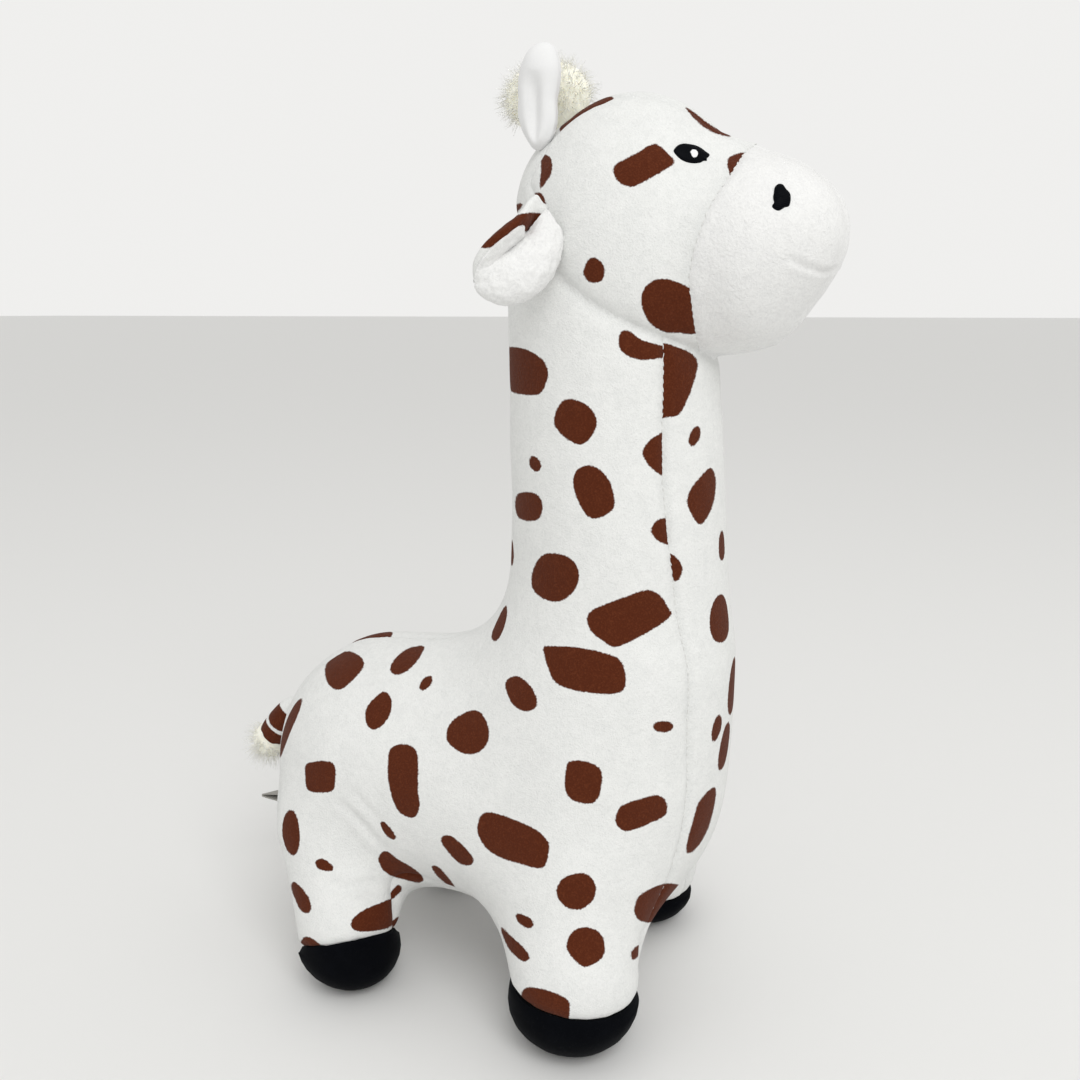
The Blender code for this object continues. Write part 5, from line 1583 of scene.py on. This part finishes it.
horn_cloth = new_finish("smooth_cloth", smooth_cloth)
for hand, direction in HORN_DIRECTIONS.items():
    direction = direction.normalized()
    turn = -1.0 if hand == "right" else 1.0
    root = Vector((-turn * HORN_ROOT[0], *HORN_ROOT[1:]))
    across_way = Vector((0.0, 1.0, 0.0))
    across_way = (across_way - direction * across_way.dot(direction)).normalized()
    third_way = direction.cross(across_way)
    shares, depths, thicks = np.array(HORN_PROFILE).T
    points = []
    for share in np.linspace(shares[0], shares[-1], HORN_RINGS):
        half_depth = HORN_DEPTH / 2 * np.interp(share, shares, depths)
        half_thick = HORN_THICKNESS / 2 * np.interp(share, shares, thicks)
        pleated = min(1.0, max(0.0, share - HORN_PLEAT_START) / HORN_PLEAT_LENGTH)
        pleat = HORN_PLEAT * max(0.0, math.sin(math.pi * pleated))
        gather = HORN_PUCKER * max(0.0, 1.0 - share / HORN_GATHER_END) * (share > -0.02)
        bend = HORN_BEND * math.sin(math.pi * max(0.0, share))
        middle = root + direction * (HORN_LENGTH * share) + across_way * bend
        for index in range(HORN_SIDES):
            angle = math.tau * index / HORN_SIDES
            across = half_depth * math.cos(angle)
            edge = math.exp(-((math.sin(angle) / HORN_EDGE_SHARE) ** 2)) * HORN_EDGE_SEAM * (share > 0.1)
            across -= math.copysign(edge, across)
            third = half_thick * math.sin(angle)
            third *= 1.0 - pleat * math.exp(-((math.cos(angle) / HORN_PLEAT_SHARE) ** 2))
            third += gather * math.sin(HORN_GATHERS * angle)
            points.append(tuple(middle + across_way * across + third_way * third))
    mesh = divided("horn", closed_mesh("horn", points, tube_faces(HORN_SIDES, HORN_RINGS)), HORN_SPLITS)
    places = place_of(mesh)
    dents = noise_at(places, HORN_DENT_SIZE, 4.0 + turn) * HORN_DENT
    mesh.vertices.foreach_set("co", (places + ways_of(mesh) * dents[:, None]).reshape(-1))
    mesh.shade_smooth()
    mesh.materials.append(horn_cloth)
    horn = add_piece("horn_" + hand + "_tube", mesh)
    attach(horn, "horn_" + hand)
    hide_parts("horn_" + hand)

# Crest: long cream pile in a tuft between and behind the horns, brushed up and apart. A soft core carries
# the fibres and shows between them.
CREST_MIDDLE = (0.0, -18.3 * MM, 311.0 * MM)
CREST_RADII = (6.8 * MM, 14.8 * MM, 11.0 * MM)
CREST_DROP = 7.0 * MM
CREST_BARE = 3.0 * MM
FIBRE_TIP = 0.02 * MM
FIBRE_SWIRL = 5.0 * MM
PILE_CLUMP = 0.6 * MM
PILE_CLUMP_SIZE = 2.6 * MM
# The deeper cream is painted shade at the fibre roots and on the core between them, mixed with random tone
CREAM = (0.97, 0.96, 0.87, 1.0)
CREAM_DEEP = (0.95, 0.92, 0.78, 1.0)
CREAM_PALE = (0.98, 0.98, 0.94, 1.0)


def cream_pile(wire):
    strand = wire.attribute("strand")
    along = wire.attribute("along")
    fine = wire.grain(0.5 * MM, 2.0, 0.6)
    clumps = wire.grain(3.0 * MM, 2.0, 0.5)
    shade = wire.mix((strand + clumps) * 0.6, CREAM_DEEP, CREAM)
    return {
        # painted shade: the colour pales from root to tip, and the core, which has no along value, takes the
        # root colour
        "Base Color": wire.mix(along.between(0.0, 0.8) * 0.75 + strand * 0.2, shade, CREAM_PALE),
        "Roughness": 0.8,
        "Specular IOR Level": 0.3,
        "Subsurface Weight": 0.6,
        "Subsurface Radius": (1.0, 0.95, 0.85),
        "Subsurface Scale": 4.0 * MM,
        "Sheen Weight": 0.5,
        "Normal": wire.bump(fine * 0.5 + clumps * 0.5, 0.6, 0.6 * MM),
    }


cream = new_finish("cream_pile", cream_pile)


def opened_tree(name, inputs, output):
    """A geometry node tree with named inputs and an output, something to add nodes with, and its inputs."""
    tree = bpy.data.node_groups.new(name, "GeometryNodeTree")
    for label, kind in inputs:
        tree.interface.new_socket(label, in_out="INPUT", socket_type="NodeSocket" + kind)
    tree.interface.new_socket(output, in_out="OUTPUT", socket_type="NodeSocketGeometry")
    given = tree.nodes.new("NodeGroupInput")
    return tree, Wire(tree), {socket.name: Wire(tree, socket) for socket in given.outputs}


def close_tree(make, shape, finish, output):
    """Sends a shape out of its tree, shaded smooth and with its material."""
    smooth = make.node("GeometryNodeSetShadeSmooth", None, {0: shape})
    finished = make.node("GeometryNodeSetMaterial", None, {"Geometry": smooth, "Material": finish})
    out = make.tree.nodes.new("NodeGroupOutput")
    make.tree.links.new(finished.socket, out.inputs[output])


def random_way(make, seed):
    return make.node("FunctionNodeRandomValue", {"data_type": "FLOAT_VECTOR"}, {
        0: (-1.0, -1.0, -1.0), 1: (1.0, 1.0, 1.0), "Seed": seed}, 0)


def random_share(make, low, high, seed):
    return make.node("FunctionNodeRandomValue", {"data_type": "FLOAT"}, {2: low, 3: high, "Seed": seed}, 1)


def pile_tree():
    """Geometry nodes that set curled, tapering fibres on the planted faces of a core."""
    tree, make, read = opened_tree("long_pile", (
        ("Core", "Geometry"), ("Fibres per square metre", "Float"), ("Length", "Float"),
        ("Root radius", "Float"), ("Spread", "Float"), ("Curl", "Float"), ("Droop", "Float"), ("Seed", "Int"),
        ("Finish", "Material")), "Pile")
    planted = make.node("GeometryNodeInputNamedAttribute", {"data_type": "BOOLEAN"}, {"Name": "planted"}, 0)
    scatter = tree.nodes.new("GeometryNodeDistributePointsOnFaces")
    for label, value in (("Mesh", read["Core"]), ("Selection", planted), ("Seed", read["Seed"]),
                         ("Density", read["Fibres per square metre"])):
        tree.links.new(value.socket, scatter.inputs[label])
    fibre = make.node("GeometryNodeMeshCone", None, {
        "Vertices": 3, "Side Segments": 5, "Radius Top": FIBRE_TIP, "Radius Bottom": read["Root radius"],
        "Depth": read["Length"]})
    place = make.node("GeometryNodeInputPosition")
    height = make.node("ShaderNodeSeparateXYZ", None, {0: place}, 2)
    marked = make.node("GeometryNodeStoreNamedAttribute", {"data_type": "FLOAT", "domain": "POINT"}, {
        "Geometry": fibre, "Name": "along", "Value": height / read["Length"]})
    leaning = random_way(make, read["Seed"]).scaled(read["Spread"])
    way = Wire(tree, scatter.outputs["Normal"]).moved(leaning)
    turned = make.node("FunctionNodeAlignEulerToVector", {"axis": "Z"}, {"Vector": way})
    size = random_share(make, 0.55, 1.1, read["Seed"] + 5.0)
    shade = random_share(make, 0.0, 1.0, read["Seed"] + 9.0)
    strands = make.node("GeometryNodeStoreNamedAttribute", {"data_type": "FLOAT", "domain": "POINT"}, {
        "Geometry": Wire(tree, scatter.outputs["Points"]), "Name": "strand", "Value": shade})
    standing = make.node("GeometryNodeInstanceOnPoints", None, {
        "Points": strands, "Instance": marked, "Rotation": turned, "Scale": size})
    real = make.node("GeometryNodeRealizeInstances", None, {0: standing})
    along = make.node("GeometryNodeInputNamedAttribute", {"data_type": "FLOAT"}, {"Name": "along"}, 0)
    swirl = make.node("ShaderNodeTexNoise", None, {"Scale": 1.0 / FIBRE_SWIRL, "Detail": 1.0}, 1)
    swirl = swirl.moved((-0.5, -0.5, -0.5))
    fall = make.node("ShaderNodeCombineXYZ", None, {2: along * along * read["Droop"] * -1.0})
    shift = swirl.scaled(along * along * read["Curl"]).moved(fall)
    moved = make.node("GeometryNodeSetPosition", None, {"Geometry": real, "Offset": shift})
    joined = tree.nodes.new("GeometryNodeJoinGeometry")
    tree.links.new(moved.socket, joined.inputs[0])
    tree.links.new(read["Core"].socket, joined.inputs[0])
    close_tree(make, Wire(tree, joined.outputs[0]), read["Finish"], "Pile")
    return tree


long_pile = pile_tree()


def with_nodes(name, mesh, tree, values):
    """A plain mesh made by a geometry node tree from a base mesh and named input values."""
    piece = add_piece(name, mesh)
    modifier = piece.modifiers.new("Nodes", "NODES")
    modifier.node_group = tree
    for item in tree.interface.items_tree:
        if item.in_out == "INPUT" and item.name in values:
            modifier[item.identifier] = values[item.name]
    made = baked(piece)
    return add_piece(name, made)


def tuft_core(name, middle, radii, is_planted):
    """A lumpy rounded core, with the faces marked that carry fibres."""
    shape = bmesh.new()
    bmesh.ops.create_icosphere(shape, subdivisions=5, radius=1.0)
    place = Matrix.Translation(middle) @ Matrix.Diagonal((*radii, 1.0))
    bmesh.ops.transform(shape, matrix=place, verts=shape.verts)
    planted = is_planted(np.array([facet.calc_center_median() for facet in shape.faces]))
    mesh = bpy.data.meshes.new(name)
    shape.to_mesh(mesh)
    shape.free()
    places = place_of(mesh)
    ways = (places - np.array(middle)) / np.array(radii) ** 2
    ways /= np.linalg.norm(ways, axis=1)[:, None]
    lumps = noise_at(places, PILE_CLUMP_SIZE, 6.0) * PILE_CLUMP
    mesh.vertices.foreach_set("co", (places + ways * lumps[:, None]).reshape(-1))
    mark = mesh.attributes.new("planted", "BOOLEAN", "FACE")
    mark.data.foreach_set("value", planted)
    return mesh


crest_core = tuft_core(
    "crest_core", CREST_MIDDLE, CREST_RADII,
    lambda centres: (head_distance(centres) > CREST_BARE) & (centres[:, 2] > CREST_MIDDLE[2] - CREST_DROP))
crest = with_nodes("crest_tuft_pile", crest_core, long_pile, {
    "Fibres per square metre": 1.3e6, "Length": 4.4 * MM, "Root radius": 0.12 * MM, "Spread": 0.6,
    "Curl": 4.0 * MM, "Droop": 0.5 * MM, "Seed": 3, "Finish": cream})
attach(crest, "torso")
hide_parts("crest_tuft")

# Tail: a short stuffed tube of the printed plush, sewn into the back seam, with a tuft of the same long
# cream pile at its open end.
TAIL_ROOT = Vector((0.0, 92.89 * MM, 84.67 * MM))
TAIL_DIRECTION = Vector((0.0, 0.60, -0.80)).normalized()
TAIL_LENGTH = 17.0 * MM
TAIL_SIDES = 40
TAIL_RINGS = 26
# Along the tail and the radius there, in millimetres
TAIL_PROFILE = (
    (-4.8, 0.6), (-4.4, 2.2), (-3.2, 3.6), (-1.4, 4.6), (0.6, 5.1), (4.0, 5.7), (8.5, 6.2), (13.0, 6.3),
    (16.0, 6.0), (17.0, 5.2), (17.6, 3.0),
)
# Middle along the tail, half length along it and around it in millimetres, and the turn round the tail
TAIL_SPOTS = ((4.4, 4.2, 11.0, 3.3), (13.6, 3.7, 14.0, 3.0), (6.0, 3.0, 6.0, 0.2))
TAIL_SPOT_RADIUS = 6.2
TUFT_MIDDLE = 18.6 * MM
TUFT_RADII = (6.6 * MM, 7.0 * MM, 7.4 * MM)
reaches, radii = np.array(TAIL_PROFILE).T * MM
side_way = Vector((1.0, 0.0, 0.0))
up_way = TAIL_DIRECTION.cross(side_way)
points, along_tail, around_tail = [], [], []
for reach in np.linspace(reaches[0], reaches[-1], TAIL_RINGS):
    radius = float(np.interp(reach, reaches, radii))
    for index in range(TAIL_SIDES):
        angle = math.tau * index / TAIL_SIDES
        way = side_way * math.cos(angle) + up_way * math.sin(angle)
        points.append(TAIL_ROOT + TAIL_DIRECTION * reach + way * radius)
        along_tail.append(reach)
        around_tail.append(angle)
mesh = closed_mesh("tail", [tuple(point) for point in points], tube_faces(TAIL_SIDES, TAIL_RINGS))
along_tail, around_tail = np.array(along_tail) / MM, np.array(around_tail)
spot = np.full(len(along_tail), FAR_OFF / MM)
for middle, half_along, half_around, turn in TAIL_SPOTS:
    around = (around_tail - turn + math.pi) % math.tau - math.pi
    size = np.hypot((along_tail - middle) / half_along, around * TAIL_SPOT_RADIUS / half_around)
    spot = np.minimum(spot, (size - 1.0) * half_along)
keep_value(mesh, "spot", spot * MM)
keep_value(mesh, "seam_far", np.full(len(spot), FAR_OFF))
mesh.materials.append(plush)
mesh = divided("tail", mesh, 1)
mesh.shade_smooth()
tail = add_piece("tail_cover_tube", mesh)
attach(tail, "tail")
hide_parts("tail_cover")

tuft_middle = TAIL_ROOT + TAIL_DIRECTION * TUFT_MIDDLE
tuft_base = tuft_core(
    "tuft_core", tuft_middle, TUFT_RADII,
    lambda centres: (centres - np.array(TAIL_ROOT)) @ np.array(TAIL_DIRECTION) > TAIL_LENGTH)
tuft = with_nodes("tail_tuft_pile", tuft_base, long_pile, {
    "Fibres per square metre": 1.5e6, "Length": 5.4 * MM, "Root radius": 0.12 * MM, "Spread": 0.5,
    "Curl": 4.0 * MM, "Droop": 1.0 * MM, "Seed": 8, "Finish": cream})
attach(tuft, "tail")
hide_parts("tail_tuft")

# Seam tab: a short end of bare ribbon, folded over and caught in the seat seam, seen almost edge on and
# coloured dark grey as painted shade on its edge.
# It is wider than the photographed one, because a sheet can't be declared under 10 mm wide.
TAB_SPAN = (-5.6 * MM, 4.6 * MM)
TAB_SKEW = 0.7
TAB_CLOTH = 0.5 * MM
# The folded ribbon's middle line in the Y-Z plane, from one end inside the seam round the fold to the other
TAB_LINE = (
    (77.0 * MM, 50.4 * MM), (84.0 * MM, 50.0 * MM), (91.0 * MM, 49.4 * MM), (98.0 * MM, 48.4 * MM),
    (104.0 * MM, 47.5 * MM), (105.8 * MM, 47.0 * MM), (105.8 * MM, 46.3 * MM), (104.0 * MM, 46.0 * MM),
    (98.0 * MM, 45.5 * MM), (91.0 * MM, 44.9 * MM), (84.0 * MM, 44.4 * MM), (77.0 * MM, 44.0 * MM),
)
# painted shade: the ribbon's dark grey stands in for the shade on the edge of a paler label
RIBBON = (0.30, 0.29, 0.265, 1.0)
RIBBON_LIGHT = (0.42, 0.41, 0.385, 1.0)


def ribbon_weave(wire):
    threads = wire.grain(0.5 * MM, 1.0, 0.5)
    return {
        "Base Color": wire.mix(threads, RIBBON, RIBBON_LIGHT),
        "Roughness": 0.7,
        "Specular IOR Level": 0.3,
        "Normal": wire.bump(threads, 0.4, 0.12 * MM),
    }


tab_line = np.array(TAB_LINE)
slopes = np.gradient(tab_line, axis=0)
slopes /= np.linalg.norm(slopes, axis=1)[:, None]
sides = np.stack((-slopes[:, 1], slopes[:, 0]), axis=1) * TAB_CLOTH / 2
points = []
for (y, z), (side_y, side_z) in zip(tab_line, sides):
    for x, turn in ((TAB_SPAN[0], 1.0), (TAB_SPAN[1], 1.0), (TAB_SPAN[1], -1.0), (TAB_SPAN[0], -1.0)):
        points.append((x, y + side_y * turn - TAB_SKEW * (x - TAB_SPAN[0]), z + side_z * turn))
mesh = closed_mesh("tab", points, tube_faces(4, len(tab_line)))
mesh.materials.append(new_finish("ribbon_weave", ribbon_weave))
tab = add_piece("seam_tab_ribbon", mesh)
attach(tab, "torso")
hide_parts("seam_tab")

# Stitches: the white thread of the seams shows as short dashes in the folds, one row on the back seam, on the
# front and belly panel's seams and on the muzzle's seams, but not behind the belly, where the fold closes
# over it. Geometry nodes lay the dashes along the seam's edges.
STITCH_LIFT = 0.12 * MM
STITCH_PITCH = 2.6 * MM
STITCH_LENGTH = 1.7 * MM
STITCH_WIDTH = 0.34 * MM
STITCH_WAVER = 0.25
REARMOST = 0.0
STITCH_ROWS = (("back", body_pulled), ("panel", body_pulled), ("muzzle", head_pulled))
THREAD_WHITE = (0.80, 0.80, 0.78, 1.0)
THREAD_SHADE = (0.66, 0.66, 0.64, 1.0)


def stitch_tree():
    """Geometry nodes that lay short thread dashes along the edges of a row."""
    tree, make, read = opened_tree("stitch_row", (
        ("Row", "Geometry"), ("Pitch", "Float"), ("Stitch length", "Float"), ("Thread width", "Float"),
        ("Waver", "Float"), ("Seed", "Int"), ("Finish", "Material")), "Stitches")
    curve = make.node("GeometryNodeMeshToCurve", None, {"Mesh": read["Row"]})
    spread = tree.nodes.new("GeometryNodeCurveToPoints")
    spread.mode = "LENGTH"
    tree.links.new(curve.socket, spread.inputs["Curve"])
    tree.links.new(read["Pitch"].socket, spread.inputs["Length"])
    waver = random_way(make, read["Seed"]).scaled(read["Waver"])
    way = Wire(tree, spread.outputs["Tangent"]).moved(waver)
    turned = make.node("FunctionNodeAlignEulerToVector", {"axis": "Z"}, {"Vector": way})
    half = read["Thread width"] * 0.5
    size = make.node("ShaderNodeCombineXYZ", None, {0: half, 1: half, 2: read["Stitch length"] * 0.5})
    dash = make.node("GeometryNodeMeshUVSphere", None, {"Segments": 6, "Rings": 4, "Radius": 1.0})
    laid = make.node("GeometryNodeInstanceOnPoints", None, {
        "Points": Wire(tree, spread.outputs["Points"]), "Instance": dash, "Rotation": turned, "Scale": size})
    real = make.node("GeometryNodeRealizeInstances", None, {0: laid})
    close_tree(make, real, read["Finish"], "Stitches")
    return tree


def seam_thread(wire):
    twist = wire.grain(0.3 * MM, 1.0, 0.5)
    return {
        "Base Color": wire.mix(twist, THREAD_WHITE, THREAD_SHADE),
        "Roughness": 0.7,
        "Specular IOR Level": 0.3,
    }


thread = new_finish("seam_thread", seam_thread)
stitch_row = stitch_tree()
for seed, (kind, pulled) in enumerate(STITCH_ROWS):
    cloth, ways = (body_cloth, body_ways) if pulled is body_pulled else (head_cloth, head_ways)
    used = sorted({corner for edge, _ in pulled[kind] for corner in edge})
    place_in = {corner: index for index, corner in enumerate(used)}
    row = bpy.data.meshes.new("row")
    edges = {(place_in[first], place_in[second]) for (first, second), _ in pulled[kind]
             if kind != "panel" or cloth[first][1] < REARMOST}
    row.from_pydata((cloth[used] + ways[used] * STITCH_LIFT).tolist(), sorted(edges), [])
    stitches = with_nodes("stitches_" + kind, row, stitch_row, {
        "Pitch": STITCH_PITCH, "Stitch length": STITCH_LENGTH, "Thread width": STITCH_WIDTH,
        "Waver": STITCH_WAVER, "Seed": seed, "Finish": thread})
    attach(stitches, "torso")
